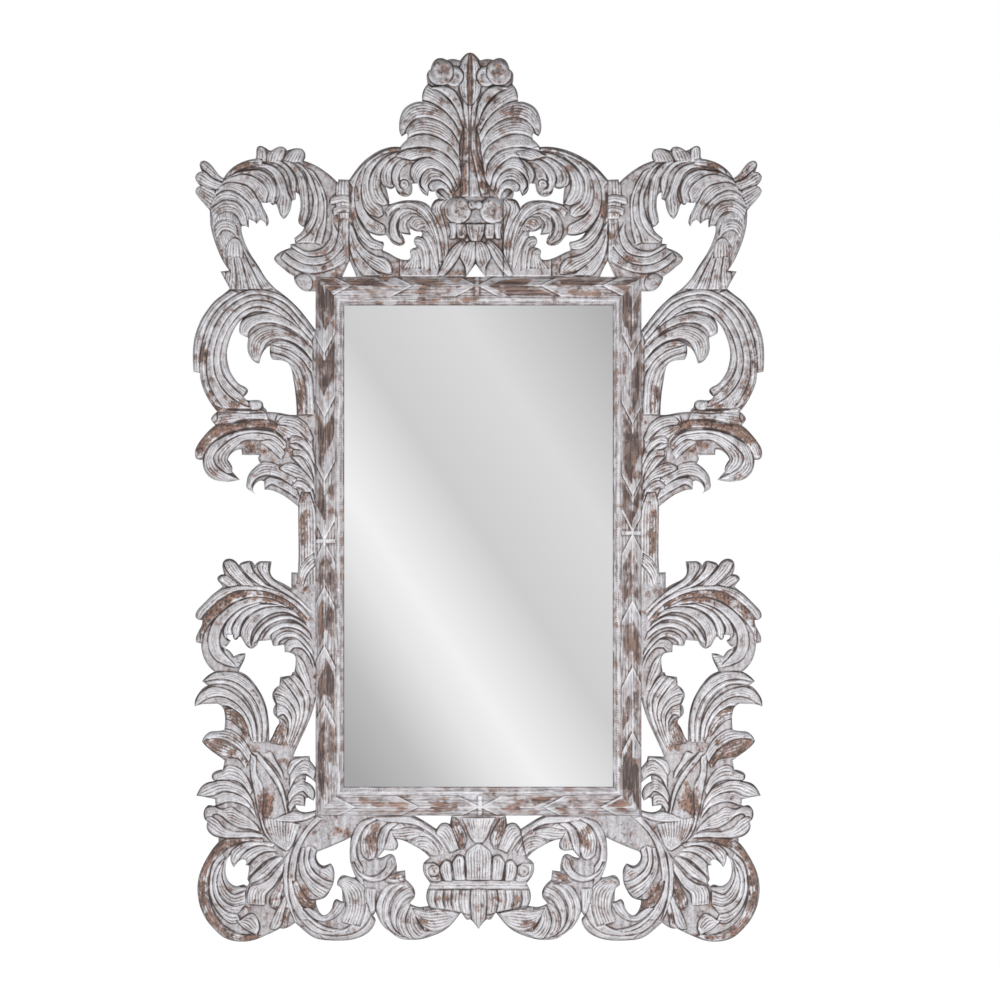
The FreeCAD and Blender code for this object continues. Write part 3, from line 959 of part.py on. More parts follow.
# Carved planks, each bored for its dowels and batten screws.
plank_bores = Part.makeCompound([bore.Shape for bore in dowel_bores] + [batten_bores.Shape])
for name, runs in PLANK_PIXELS.items():
    for side_name, on_right in (("left", False), ("right", True)):
        leaves = [leaf_face(first, second, on_right) for first, second in LEAF_PIXELS.get(name, [])]
        holes = outline_edges(HOLE_PIXELS[name], on_right) if name in HOLE_PIXELS else []
        shape = plank(outline_edges(runs, on_right), holes, leaves, size("relief_height"))
        label = "%s_%s" % (name, side_name)
        keep(feature(label, shape.cut(plank_bores)), label)
for name, runs in MIDDLE_PIXELS.items():
    edges = outline_edges(runs, False) + outline_edges(runs, True)
    leaves = []
    for on_right in (False, True):
        leaves += [leaf_face(first, second, on_right) for first, second in LEAF_PIXELS.get(name, [])]
    shape = plank(Part.sortEdges(edges)[0], [], leaves, size("crown_height"))
    keep(feature(name, shape.cut(plank_bores)), name)
doc.recompute()

faults = [thing.Name for thing in doc.Objects if {"Invalid", "Error"} & set(thing.State)]
for part in parts:
    shape = part.Shape
    if shape.isNull() or not shape.isValid() or not shape.Solids:
        faults.append(part.Label + " shape")
    print("%-24s solids %2d volume %10.0f mm3" % (part.Label, len(shape.Solids), shape.Volume))
if faults:
    raise RuntimeError("faulty: " + ", ".join(faults))
os.makedirs("parts", exist_ok=True)
for part in parts:
    part.Shape.exportStep(os.path.join("parts", part.Label + ".step"))
print("%d parts written" % len(parts))
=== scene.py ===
import math
import bpy
import numpy as np
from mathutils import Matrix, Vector, kdtree
from mathutils.geometry import delaunay_2d_cdt


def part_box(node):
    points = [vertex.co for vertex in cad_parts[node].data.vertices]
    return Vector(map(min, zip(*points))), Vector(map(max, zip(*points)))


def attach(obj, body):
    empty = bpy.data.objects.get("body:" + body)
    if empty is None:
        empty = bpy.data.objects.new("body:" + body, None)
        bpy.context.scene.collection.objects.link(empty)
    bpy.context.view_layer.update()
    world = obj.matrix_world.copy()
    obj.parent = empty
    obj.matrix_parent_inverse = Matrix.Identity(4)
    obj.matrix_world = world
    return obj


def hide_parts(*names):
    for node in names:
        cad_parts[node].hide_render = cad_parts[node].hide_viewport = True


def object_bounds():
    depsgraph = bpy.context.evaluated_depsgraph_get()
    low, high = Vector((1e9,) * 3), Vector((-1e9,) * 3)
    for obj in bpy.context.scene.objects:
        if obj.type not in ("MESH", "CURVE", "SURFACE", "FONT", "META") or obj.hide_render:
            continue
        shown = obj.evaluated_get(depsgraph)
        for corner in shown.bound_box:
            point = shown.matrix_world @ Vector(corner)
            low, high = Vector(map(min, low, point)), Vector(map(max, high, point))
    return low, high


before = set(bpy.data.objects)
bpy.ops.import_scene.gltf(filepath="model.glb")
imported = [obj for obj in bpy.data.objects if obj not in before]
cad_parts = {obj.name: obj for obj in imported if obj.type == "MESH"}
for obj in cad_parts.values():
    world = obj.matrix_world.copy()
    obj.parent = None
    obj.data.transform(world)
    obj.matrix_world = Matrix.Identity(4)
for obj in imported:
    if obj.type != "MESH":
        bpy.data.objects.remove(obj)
cadLow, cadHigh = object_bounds()
print("frame loaded")

# Columns and rows of the picture that stand for the edges of the frame and of the carving.
picture = {
    "axis": 478.5,
    "frameLeft": 315.5,
    "reachLeft": 192.6,
    "frameTop": 276.5,
    "frameBottom": 816,
    "crestTop": 51.9,
    "apronEnd": 940.6,
    "crestAxisTop": (470, 150),   # the crest's middle line leans from here
    "crestAxisFoot": (475.5, 200),
    "crestSeam": 349,
    "crestAxisColumn": 400,
    "middle": 500,
}
millimetre = 0.001
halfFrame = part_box("stile_right")[1].x
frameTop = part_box("rail_top")[1].z
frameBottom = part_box("rail_bottom")[0].z
axis = picture["axis"]
leftColumns = [picture["reachLeft"], picture["frameLeft"], axis]
allColumns = leftColumns + [2 * axis - picture["frameLeft"], 2 * axis - picture["reachLeft"]]
allWidths = [cadLow.x, -halfFrame, 0, halfFrame, cadHigh.x]
allRows = [picture["crestTop"], picture["frameTop"], picture["frameBottom"], picture["apronEnd"]]
allHeights = [cadHigh.z, frameTop, frameBottom, cadLow.z]
pixelSize = 2 * halfFrame / (2 * (axis - picture["frameLeft"]))


def ends(values, known, wanted):
    # Straight lines between the known values, and on past the last ones.
    first = (wanted[1] - wanted[0]) / (known[1] - known[0])
    last = (wanted[-1] - wanted[-2]) / (known[-1] - known[-2])
    inside = np.interp(values, known, wanted)
    before = np.minimum(values - known[0], 0) * first
    after = np.maximum(values - known[-1], 0) * last
    return inside + before + after


def toMetres(pixels):
    x = ends(pixels[:, 0], np.array(allColumns), np.array(allWidths))
    z = ends(pixels[:, 1], np.array(allRows), np.array(allHeights))
    return np.column_stack([x, z])


def toPixels(places):
    column = ends(places[:, 0], np.array(allWidths), np.array(allColumns))
    row = ends(-places[:, 1], -np.array(allHeights), np.array(allRows))
    return np.column_stack([column, row])


def leaningAxis(row):
    topColumn, topRow = picture["crestAxisTop"]
    footColumn, footRow = picture["crestAxisFoot"]
    return np.interp(row, [topRow, footRow], [topColumn, footColumn])


def mirrored(pixels):
    column, row = pixels[:, 0], pixels[:, 1]
    seam = picture["crestSeam"]
    share = np.clip((column - seam) / (picture["crestAxisColumn"] - seam), 0, 1)
    share = np.where(row < picture["frameTop"] - 0.01, share, 0)
    middle = axis + (leaningAxis(row) - axis) * share
    return np.column_stack([2 * middle - column, row])


def foldedLeft(pixels):
    # Points right of the middle line are read from the left half's carving.
    column, row = pixels[:, 0], pixels[:, 1]
    middle = np.where(row < picture["frameTop"], leaningAxis(row), axis)
    return np.column_stack([np.minimum(column, 2 * middle - column), row])


# The carving. Each strip is a fan of leaves, traced in the picture: edge | flutes | edge | flutes | edge,
# from root to tip. A b after the number of flutes is a leaf rubbed to bare wood, and an s one that
# lies lower. A disc is a curled volute: middle, radius and turns. A patch is bare wood: middle, size
# and strength. The low, crown and rise of a plank's leaves are in millimetres.
shoulder = {
    "low": 27, "crown": 6, "rise": 3,
    "strips": [
        "215,221 218,215 225,211 233,212 238,217 241,224 | 3 | "
        "210,208 216,204 223,200 231,200 237,202 243,208 246,215 248,226 | 3 | "
        "212,202 216,195 222,191 229,190 237,193 245,199 252,206 256,214 256,223 | 3 | "
        "217,189 223,184 230,182 239,183 248,186 254,192 259,201 265,209 268,219 266,225 | 3 | "
        "225,179 233,176 241,174 250,175 258,179 265,185 268,192 266,202 | 2 | "
        "230,176 239,172 250,170 259,170 268,174 273,180 276,189 274,203",
        "254,167 265,168 272,173 277,183 280,193 277,206 283,218 | 3 | "
        "264,163 273,166 281,173 285,182 287,190 291,203 289,211 283,218",
        "265,161 274,162 283,167 289,176 291,186 295,198 | 2 | 273,161 283,162 290,169 295,178 295,196",
        "281,161 289,166 296,175 299,187 300,199 300,209 298,218 300,224 | 3 | "
        "290,161 298,168 304,177 307,188 308,200 308,212 304,225",
        "297,163 305,172 309,183 313,195 313,208 310,219 305,227 294,238 | 3 | "
        "303,166 310,174 315,186 318,198 318,209 316,221 309,233 297,242 | 2 | "
        "307,168 317,180 322,193 324,206 323,219 318,231 315,242 | 2 | "
        "314,172 321,185 326,200 326,215 325,228 321,244",
        "332,221 332,232 329,240 322,248 314,251 305,251 297,247 290,243 | 3 | "
        "338,233 336,243 330,252 319,256 308,256 299,252 291,247 | 2 | "
        "344,247 337,255 328,262 316,265 305,264 294,259 285,252 | 2 | "
        "345,262 336,267 325,271 313,273 301,271 290,265 281,258",
        "222,182 212,176 203,168 199.5,163 | 2 | 224,177 214,168 207,161 201,160",
        "218,190 208,187 200,184 195,178 | 2 | 222,182 212,178 203,171 197,172",
        "210,209 203,203 197,195 195,190 | 2 | 216,191 208,187 201,185 196,187",
        "255,161 256,152 258,147 262,146 | 2 | 267,161 266,154 265,149 263,146",
        "266,161 268,153 275,148 280,146 | 2 | 281,161 284,154 285,149 283,146",
        "283,161 287,154 294,149 300,148 | 2 | 302,162 304,156 304,151 301,148",
        "235,165 243,161 255,158 262,159 | 1b | 231,174 240,169 252,166 262,165",
        "230,289 222,262 214,242 210,225 209,206 | 2s | 275,288 262,272 250,252 243,237 240,218",
        "214,226 220,220 228,219 234,222 237,227 | 2 | 217,238 223,231 229,231 234,234 238,239",
        "231,242 228,256 227,271 223,289 | 1 | 235,242 234,258 236,273 236,289 | 1 | "
        "238,242 241,258 245,273 249,289 | 1 | 241,244 247,259 254,273 262,289 | 1 | "
        "243,247 254,262 264,276 274,288",
        "225,256 226,247 230,240 235,237 | 1 | 244,258 243,248 240,241 235,237",
        "339,218 338,232 339,247 341,262 | 1s | 349,218 349,232 349,247 349,262",
        "337,179 336,190 336,203 338,218 | 1 | 349,179 349,190 349,203 349,218",
        "331,197 337,195 343,194 349,195 | 1 | 330,204 337,203 343,202 349,203",
        "333,208 339,206 344,205 349,206 | 1 | 334,215 339,213 344,212 349,213",
    ],
    "discs": [(303, 283, 9, 0)],
    "patches": [(246, 166, 14, 5, 0.9), (330, 262, 9, 7, 0.5), (226, 262, 6, 14, 0.4),
                (343, 225, 5, 14, 0.5)],
}
sideScroll = {
    "low": 27, "crown": 6.5, "rise": 3,
    "strips": [
        "230,290 214,301 201.5,318 194.8,335 192.6,357 193.3,371 | 2 | "
        "238,293 222,304 209,322 201.5,343 200,360 200,372",
        "315,331 303,315 286,298 268,291 250,290 232,298 214,315 204,338 200,362 202,385 211,403 219,413 | "
        "2 | 313,336 300,320 284,303 268,296 252,295 236,302 219,319 210,341 206.5,362 209,384 217,400 "
        "223,408 | 3 | 311,341 298,325 283,309 268,301 254,300 240,306 225,322 216,343 213.5,360 217,379 "
        "227,394 243,405 252,408 | 3 | 309,346 297,331 283,316 268,308 256,306.5 244,311 231,325 222,345 "
        "220,360 223,374 232,386 243,396 | 2 | "
        "309,348 297,333 283,319 262,311 252,312 244,316.5 236,325 229,339 226,356 229.6,371 240,384 "
        "247,388",
        "311,340 297,326 283,317 268,313 255,315 244,320 239,327 240,333 247,337 | 3 | "
        "312,346 300,335 285,326 268,322 257,324 249,331 247,337",
        "312,348 300,338 286,330 270,326 256,331 248,340 247.5,350 251,358 258.6,363 | 4 | "
        "312,360 302,348 288,340 274,338.5 266,343 262,352 259,362",
        "312,362 303,352 290,343 278,341 270,344 | 3 | 312,372 303,364 292,359 282,359 272,359",
        "298,414 297,398 295,384 290,371 282,363 271,360 | 2 | "
        "306,414 306,396 304,380 298,366 287,357 271,352 | 2 | "
        "314,414 313,394 311,376 305,363 293,352 271,344",
        "212,404 225,409 245,411 262,410 | 2b | 218,414 232,416 250,416 266,414",
    ],
    "discs": [(255.5, 404, 6.5, 0)],
    "patches": [(301, 398, 4, 14, 0.95), (204, 348, 3, 20, 0.5), (211, 396, 6, 10, 0.7),
                (290, 335, 14, 3, 0.5),
                (240, 404, 12, 5, 0.7)],
}
sideLeaf = {
    "low": 27, "crown": 6, "rise": 3,
    "strips": [
        "265,412 245,413 225,412 215,414 211,419 | 2 | 268,420 245,419 228,423 215,424.5 211,420",
        "283,428 268,420 250,421 232,424 214,426 199,442 194.6,454 198.5,460 | 2b | "
        "287,440 275,430 258,427 240,429 222,435 210,445 205,453 202,459",
        "286,442 275,433 258,430 240,431 222,438 208,448 204,460 204,471 214.5,480 227,481.6 239,479.7 | 3 | "
        "285,448 277,439 262,433 248,433 233,438 220,448 214,456 217,466 226,473 239,479.5",
        "283,450 272,444 258,440 243,441 236,446 229,454 227,459 231.5,468 233,473 | 2 | "
        "285,446 277,437 262,433 248,433 233,438 220,448 214,456 217,466 226,473",
        "312,440 305,430 296,421 285,416 278,414 | 3 | 312,450 305,438 295,427 284,421 276,421 | 3 | "
        "313,462 306,450 297,441 287,437 278,430",
        "313,470 307,456 300,447 293,442 289,441 | 2 | 310,475 304,460 297,450 290,446",
        "313,478 308,466 301,457 295,452 291,452 | 2 | 312,485 306,474 299,464 292,457",
        "311,482 303,476 294,474 287,474 280,470 | 2 | 312,490 304,484 296,480 288,478",
        "297,478 285,470 272,463 260,463 250.6,471 246.5,482 247,489 254.5,493.6 | 3 | "
        "296,489 288,483 278,477 266,475 257,478 252,485 253,491",
        "296,489 288,483 278,479 268,478 264,481 | 3 | 300,500 291,494 281,488 271,484 264,488",
        "311,500 305,492 298,487 292,488 | 2 | 312,495 308,487 300,482 292,482",
        "260,441 270,439 278,444 285,452 | 2 | 260,442 268,447 274,452 281,459",
        "276,423 281,417 293,416 305,423 313,438 | 2 | 277,425 287,426 299,431 311,443",
        "289,444 291,436 301,437 309,444 314,455 | 2 | 289,444 299,444 308,452 314,464",
        "292,455 293,451 302,450 310,457 314,466 | 2 | 292,456 302,457 310,466 314,476",
        "279,467 289,463 301,468 309,476 314,484 | 2 | 279,469 292,476 304,480 314,490",
        "291,485 299,480 308,485 314,495 | 2 | 291,486 301,488 309,495 313,502",
    ],
    "discs": [(212, 417, 6, 0)],
    "patches": [(225, 428, 20, 5, 0.8), (262, 424, 16, 4, 0.6), (256, 447, 8, 7, 0.4)],
}
sideStrip = {
    "low": 26, "crown": 3, "rise": 0,
    "strips": [
        "297,584 297,545 297,512 301,492 | 1 | 317,584 317,545 316,512 310,492",
        "298,577 301,566 306,559 314,553 | 1 | 303,586 307,576 311,570 315,566",
    ],
    "discs": [],
    "patches": [(304, 528, 4.5, 24, 1.0), (307, 508, 4, 6, 0.6)],
}
lowerLeaf = {
    "low": 27, "crown": 6, "rise": 3,
    "strips": [
        "312,612 300,600 288,590 277,583 270,576 268,569 269,562 | 3 | "
        "309,612 297,601 283,592 270,584 262,575 258,566 260,562",
        "283,592 268,586 258,577 252,569 250,562 | 2 | 262,586 252,579 244,571 240,565",
        "255,586 247,578 240,570 235,563 230,560 | 2 | 243,586 234,578 227,570 224,563",
        "238,585 232,580 226,576 221,576 | 1 | 228,587 223,583 219,580",
        "310,616 298,603 284,594 268,588 250,586 232,587 218,592 206,602 197,612 196,619 | 3 | "
        "308,620 296,607 282,598 266,592 250,590 235,592 222,599 211,608 203,617 201,620 | 2b | "
        "305,622 290,608 275,600 260,597 245,598 231,604 220,613 211,622 204,632 201,643",
        "290,608 272,599 255,597 240,601 226,609 215,620 209,634 209,648 215,659 226,665 238,668 | 4 | "
        "268,602 252,604 240,609 229,618 221,630 219,642 221,650 228,657 233,658",
        "222,646 226,655 232,662 238,668 | 2 | 230,646 234,652 239,655 246,654",
        "262,602 247,606 235,614 226,625 224,634 226,638 230,641 | 2 | "
        "255,606 244,611 235,620 231,629 232,635",
        "275,605 258,605 246,610 237,620 233,630 234,639 | 2 | "
        "282,606 265,607 253,612 244,620 240,629 239,636",
        "292,609 275,607 261,610 250,617 243,626 241,635 246,645 251,648 | 3 | "
        "300,618 285,612 271,614 259,622 252,632 250,641",
        "303,622 290,616 276,617 264,624 256,633 252,643 | 3 | "
        "307,628 294,620 281,620 269,625 261,633 257,641",
        "309,632 297,624 284,623 273,627 266,634 262,641 | 2 | "
        "311,640 299,630 287,627 277,630 270,637 271,640",
        "312,650 302,638 292,632 282,633 276,638 273,646 | 2 | "
        "313,656 304,645 294,637 285,638 279,642 278,646",
        "313,660 306,648 297,640 288,641 284,647 285,652 | 2 | "
        "314,668 309,656 301,648 293,648 290,652",
        "311,690 308,675 303,662 297,655 | 2 | 306,690 302,680 296,670 295,662 295,657",
        "291,752 300,735 308,712 309,698 304,686 295,675 | 2 | "
        "290,750 298,732 304,712 304,700 298,688 289,677 | 2 | "
        "289,748 296,730 300,714 298,702 291,691 282,680 | 3 | "
        "288,745 294,728 296,715 292,705 284,697 274,694 | 2 | "
        "287,740 291,726 291,716 286,708 277,704 | 2 | "
        "285,742 289,730 288,720 283,714 277,717",
        "284,745 287,732 284,722 279,718 | 1b | 270,742 274,733 278,727 278,720",
    ],
    "discs": [],
    "patches": [(262, 600, 16, 4, 0.8), (276, 735, 4, 7, 0.8), (300, 590, 8, 5, 0.4)],
}
plume = {
    "low": 27, "crown": 6, "rise": 3,
    "strips": [
        "266,742 267,722 262,700 252,684 239,674 225,672 214,673 | 2 | "
        "262,742 262,722 256,703 246,690 234,682 221,679 203,682 | 2 | "
        "258,742 257,724 251,706 241,693 229,685 215,684 206,686",
        "257,742 255,724 248,708 237,696 224,689 210,688 200,694 195,705 | 4 | "
        "253,742 251,726 244,712 234,702 222,697 210,698 202,702 196,707 | 2 | "
        "250,735 244,720 236,711 228,706 222,706",
        "249,732 243,718 234,710 224,709 | 1b | 247,737 240,728 231,720 224,718",
        "252,755 246,744 238,735 228,730 215,731 205,736 202,742 | 3 | "
        "248,762 241,752 231,744 219,739 206,739 | 3b | 245,768 239,759 228,757 214,753 204,743",
        "252,790 247,778 239,769 228,766 222,771 213,775 | 3 | 250,795 243,785 233,780 222,780 214,781",
        "252,800 245,790 235,784 222,781 209,784 201,789 197,796 | 4 | "
        "254,810 246,800 236,794 224,792 210,797 200,797 | 3 | 256,818 248,808 238,803 227,802 216,806",
        "257,826 248,818 238,812 232,808 222,810 212,807 205,810 205,818 | 3 | "
        "260,832 250,829 240,828 229,822 222,816 214,814 210,818",
        "262,834 250,832 236,832 224,828 216,820 208,817 205,820 | 3 | "
        "264,838 250,837 236,838 222,837 212,833 207,826 208,822",
        "250,755 251,775 255,795 259,815 266,835 280,848 | 1 | "
        "256,757 257,775 262,785 263,800 262,815 270,830",
        "252,752 262,765 272,778 280,792 285,808 287,815 | 3 | "
        "258,753 268,765 277,777 283,790 286,803",
        "262,755 270,762 278,772 283,780 | 1 | 271,752 276,762 282,772",
        "287,772 291,762 300,758 308,757 | 1 | 290,775 296,766 304,761 309,762",
        "290,775 297,765 305,760 309,762 316,770 | 3 | 290,788 297,777 305,774 313,780",
        "288,795 295,784 304,780 311,786 314,795 313,801 | 2 | 289,803 296,794 303,791 308,796",
        "288,806 294,797 302,796 305,805 | 1 | 290,812 295,806 303,807",
        "285,815 295,812 305,814 315,812 | 1 | 270,822 290,822 305,820 315,816",
        "262,818 266,830 272,840 284,850 | 1 | 300,825 296,835 292,845 288,850",
    ],
    "discs": [],
    "patches": [(266, 803, 9, 14, 0.9), (228, 712, 8, 5, 0.8), (224, 750, 14, 4, 0.7), (238, 742, 8, 4, 0.5)],
}
cornerScroll = {
    "low": 27, "crown": 6, "rise": 3,
    "strips": [
        "262,838 245,838 225,840 214,848 205,861 199,876 197.5,892 201,910 211,925 225,936 243,940 262,936 "
        "| 1b | 262,842 246,841 233,845 222,852 213,862 209,876 208,892 212,908 220,921 232,930 246,934 "
        "256,933",
        "222,853 213,863 210,876 210,891 214,904 222,915 233,922 240,920 | 2 | "
        "224,858 217,866 213,877 213,890 218,902 227,910 237,913 | 2 | "
        "220,868 217,878 218,890 224,900 234,905 245,903 | 1 | "
        "224,862 222,874 225,884 233,893 245,890 | 1 | 228,857 225,868 226,877 231,884 238,886 246,887",
        "236,919 243,926 252,931 258,934 | 1 | 240,921 246,915 252,913 257,918 259,927 256,933",
        "275,843 262,842 248,842 238,846 231,853 231,862 233,867 | 2 | "
        "272,847 260,845 249,848 242,854 237,861 234,867",
        "273,848 261,846 251,849 243,855 240,859 | 2 | 275,851 264,852 255,857 249,862 246,865",
        "276,852 266,852 257,857 250,864 | 3 | 278,855 268,859 259,866 252,873 248,876",
        "280,856 270,861 260,869 252,876 249,880 | 3 | 283,858 275,866 266,875 257,880 250,883",
        "286,859 277,869 268,879 259,884 251,886 248,893 248,903 | 2 | "
        "288,862 281,874 273,886 266,893 265,904",
        "289,864 283,876 276,888 271,896 270,905 | 2b | 289,868 285,882 281,893 280,903 277,908",
        "284,895 280,903 275,914 270,927 | 2 | 287,900 284,912 281,924 277,928 | 2b | "
        "290,905 288,915 286,926",
        "284,860 283,880 285,895 290,908 296,921 | 1 | 290,852 288,874 289.5,900 296,922",
    ],
    "discs": [],
    "patches": [(206, 880, 4, 22, 0.7), (240, 937, 16, 3, 0.6), (255, 900, 6, 8, 0.3), (276, 898, 4, 9, 0.7)],
}
apronScroll = {
    "low": 27, "crown": 6, "rise": 3,
    "strips": [
        "316,817 303,832 294,848 289,865 288,882 291,900 298,915 308,926 320,933 335,937 | 3 | "
        "322,819 308,833 300,848 296,865 295,880 298,895 305,910 315,920 330,927 345,929",
        "301,848 299,862 300,872 305,882 313,892 321,898 | 2 | "
        "305,848 304,862 307,872 314,880 324,886 330,889 | 2 | "
        "311,846 309,860 312,868 319,875 328,880 333,881 | 1 | "
        "316,850 315,859 318,865 324,868 330,865 334,874",
        "292,880 295,893 303,905 313,907 | 1b | 297,880 301,890 309,899 320,900",
        "303,908 312,916 323,920 333,917 341,910 345,903 | 1 | "
        "309,906 316,911 322,915 328,912 332,906 336,900",
        "300,918 312,929 328,934 345,934 358,930 367,922 371,914 | 2 | "
        "308,918 320,927 335,930 348,926 358,917 364,905 365,890",
        "325,938 345,939 360,935 371,928 375,921 372,916 | 1 | 320,933 340,934 355,931 366,923 371,915",
        "360,925 365,910 366,897 364,887 357,880 347,876.5 339,879 | 4 | "
        "341,920 346,908 345,896 341,888 337,885",
        "372,818 360,823 353,834 350,848 350.5,862 355,875 363,885 | 2 | "
        "376,820 366,826 359,837 356,849 358,860 362,866",
        "378,820 368,826 362,836 361,846 363,855 368,859 374,858 | 3 | "
        "388,822 380,829 376,839 376,850 374,858",
        "390,822 382,830 378,840 378,850 377,857 | 3 | 398,824 390,830 386,840 384,850",
        "400,823 391,830 387,840 384,850 390,851 | 3 | 405,827 398,830 395,837 397,844 395,850",
        "372,818 392,817 412,818 425,824 437,831 446,842 450,852 | 3 | "
        "385,822 400,823 415,825 427,831 438,840 445,850",
        "390,830 400,829 412,828 424,832 434,839 442,850 | 1 | "
        "395,839 405,840 415,838 425,837 434,843 440,852",
        "409,843 417,837 427,837 436,845 440,855 | 3 | 420,849 426,851 431,855",
        "354,861 360,871 369,876 379,874 386,867 388,860 | 2 | "
        "351,862 358,874 368,880 380,880 391,872 396,862 393,856",
        "390,875 397,873 404.5,871 | 1b | 385,881 395,882 405,880",
        "396,882 386,886 379,896 376,908 379,920 388,931 400,937 414,938 | 2 | "
        "398,884 390,889 384,899 382,910 384,921 391,930 400,935 | 2 | "
        "405,884 396,891 390,901 388,911 390,921 397,931 405,936",
        "411,886 400,892 393,902 391,913 393,924 400,933 | 1 | 414,895 405,899 399,907 396,917 398,926",
        "411,901 404,905 398,912 396,922 400,932 408,937 | 1 | 410,904 407,911 405,919 407,928 412,936",
        "410,905 407,913 406,921 409,931 415,937 425,936 | 1 | 418,908 416,916 418,922 424,929 432,930",
        "412,907 425,909 440,908 460,912 | 2 | 418,918 424,926 434,930 447,926 458,915",
        "364,888 366,900 371,913 | 2 | 376,888 375,900 375,911",
    ],
    "discs": [],
    "patches": [(372, 838, 6, 12, 0.8), (304, 892, 5, 8, 0.8), (335, 832, 8, 4, 0.4), (426, 922, 12, 4, 0.6)],
}
apronShell = {
    "low": 31, "crown": 9, "rise": 3,
    "strips": [
        "437,830 441,825 447,824 452,829 456,840 459,848 | 1 | 436,833 441,838 446,845 450,852",
        "452,818 452,828 456,838 460,848 | 2b | 457,820 462,828 466,838 463,848",
        "462,818 466,826 470,836 474,842 | 1 | 495,818 491,826 487,836 483,842",
        "467,879 466.5,866 466.5,853 478.5,842 | 3 | 490,879 490,866 490,853 478.5,842",
        "455,879 454,871 453,862 456,857 | 2 | 465,879 464,868 462,856 458,855",
        "445,880 442,875 440,869 443,862 | 1 | 452,880 451,871 449,861 445,860",
        "430,880 424,872 424,864 431,863 | 1 | 441,880 440,874 438,866 434,863",
        "426,881 452,880 478,880 486,880 | 1 | 426,888 452,888 478,888 486,888",
        "428,889 427,898 430,906 | 1 | 436,889 435,898 437,907 | 1 | 444,889 443,898 445,908 | 1 | "
        "452,889 451,898 453,909 | 1 | 460,889 459,900 461,911 | 1 | 470,889 469,902 470,913",
        "471,888 471,903 473,920 478.5,930 | 2 | 486,888 486,903 484,920 478.5,930",
    ],
    "discs": [(434, 870, 6, 0)],
    "patches": [(460, 830, 5, 10, 0.7), (450, 898, 14, 5, 0.4), (436, 872, 5, 5, 0.5)],
}
crestScroll = {
    "low": 27, "crown": 6, "rise": 3,
    "strips": [
        "349,180 360,168 372,158 386,150 400,147 412,148 424,152 | 1 | "
        "355,190 362,172 375,159 388,152 400,151 412,154 424,156",
        "418,156 408,157 400,160 394,167 392,176 394,185 400,192 407,194 | 2 | "
        "416,163 409,163 403,167 399,174 398,180 401,184",
        "407,153 396,156 388,161 383,168 381,177 383,184 389,187 | 2 | "
        "409,157 400,160 394,166 391,173 391,180 394,186",
        "398,151 387,156 378,164 372,173 369,183 370,194 375,202 383,205 | 3 | "
        "402,153 391,159 384,166 380,176 380,187 384,196 388,203",
        "383,154 372,161 365,170 361,181 360,193 363,205 369,213 378,217 | 3 | "
        "380,159 373,168 369,180 370,192 375,202 382,208 383,214",
        "366,163 359,174 355,187 354,200 357,213 363,223 370,231 378,234 | 3 | "
        "362,180 361,195 364,208 370,217 378,222 384,226 385,233",
        "352,186 351,200 352,215 356,230 363,241 372,248 382,249 | 3 | "
        "355,190 355,205 358,218 364,229 372,237 380,240 384,244",
        "349,222 350,236 355,250 364,261 375,269 388,274 | 3 | "
        "353,228 358,240 366,250 376,256 386,259 391,266 392,273",
        "349,240 351,252 356,265 363,275 | 3 | 350,232 356,249 366,262 377,272 381,275",
        "443,262 441,245 437,228 430,213 419,203 405,200 392,204 385,210 | 2 | "
        "438,262 437,245 433,230 426,217 416,208 404,206 393,210 388,216",
        "437,258 435,242 430,227 421,214 410,208 400,209 393,216 390,226 392,238 400,244 | 3 | "
        "434,250 430,236 424,222 415,213 406,212 399,217 396,226 398,234 404,242",
        "430,228 422,217 412,213 404,216 399,224 400,231 410,234 | 3 | "
        "428,232 420,222 413,218 408,220 407,228 410,233",
        "434,236 428,224 419,216 411,217 409,222 415,230 | 1 | 430,232 425,226 421,228 416,230",
        "440,272 438,255 434,240 428,232 421,230 | 2 | 436,268 432,256 428,245 424,238 421,236",
        "430,270 430,256 427,245 421,237 415,237 413,241 | 3 | 424,268 423,256 421,248 417,246 414,243",
        "421,268 420,258 417,250 412,248 410,252 | 3 | 402,268 407,263 410,259 411,255",
        "440,198 434,202 431,209 436,218 441,228 444,240 444,256 440,270 | 3 | "
        "447,199 441,206 443,216 446,228 448,245 447,262 443,274",
    ],
    "discs": [(404, 184, 5, 1)],
    "patches": [(400, 150, 12, 3, 0.5), (352, 212, 4, 12, 0.7), (398, 268, 6, 5, 0.4), (432, 205, 5, 5, 0.5)],
}
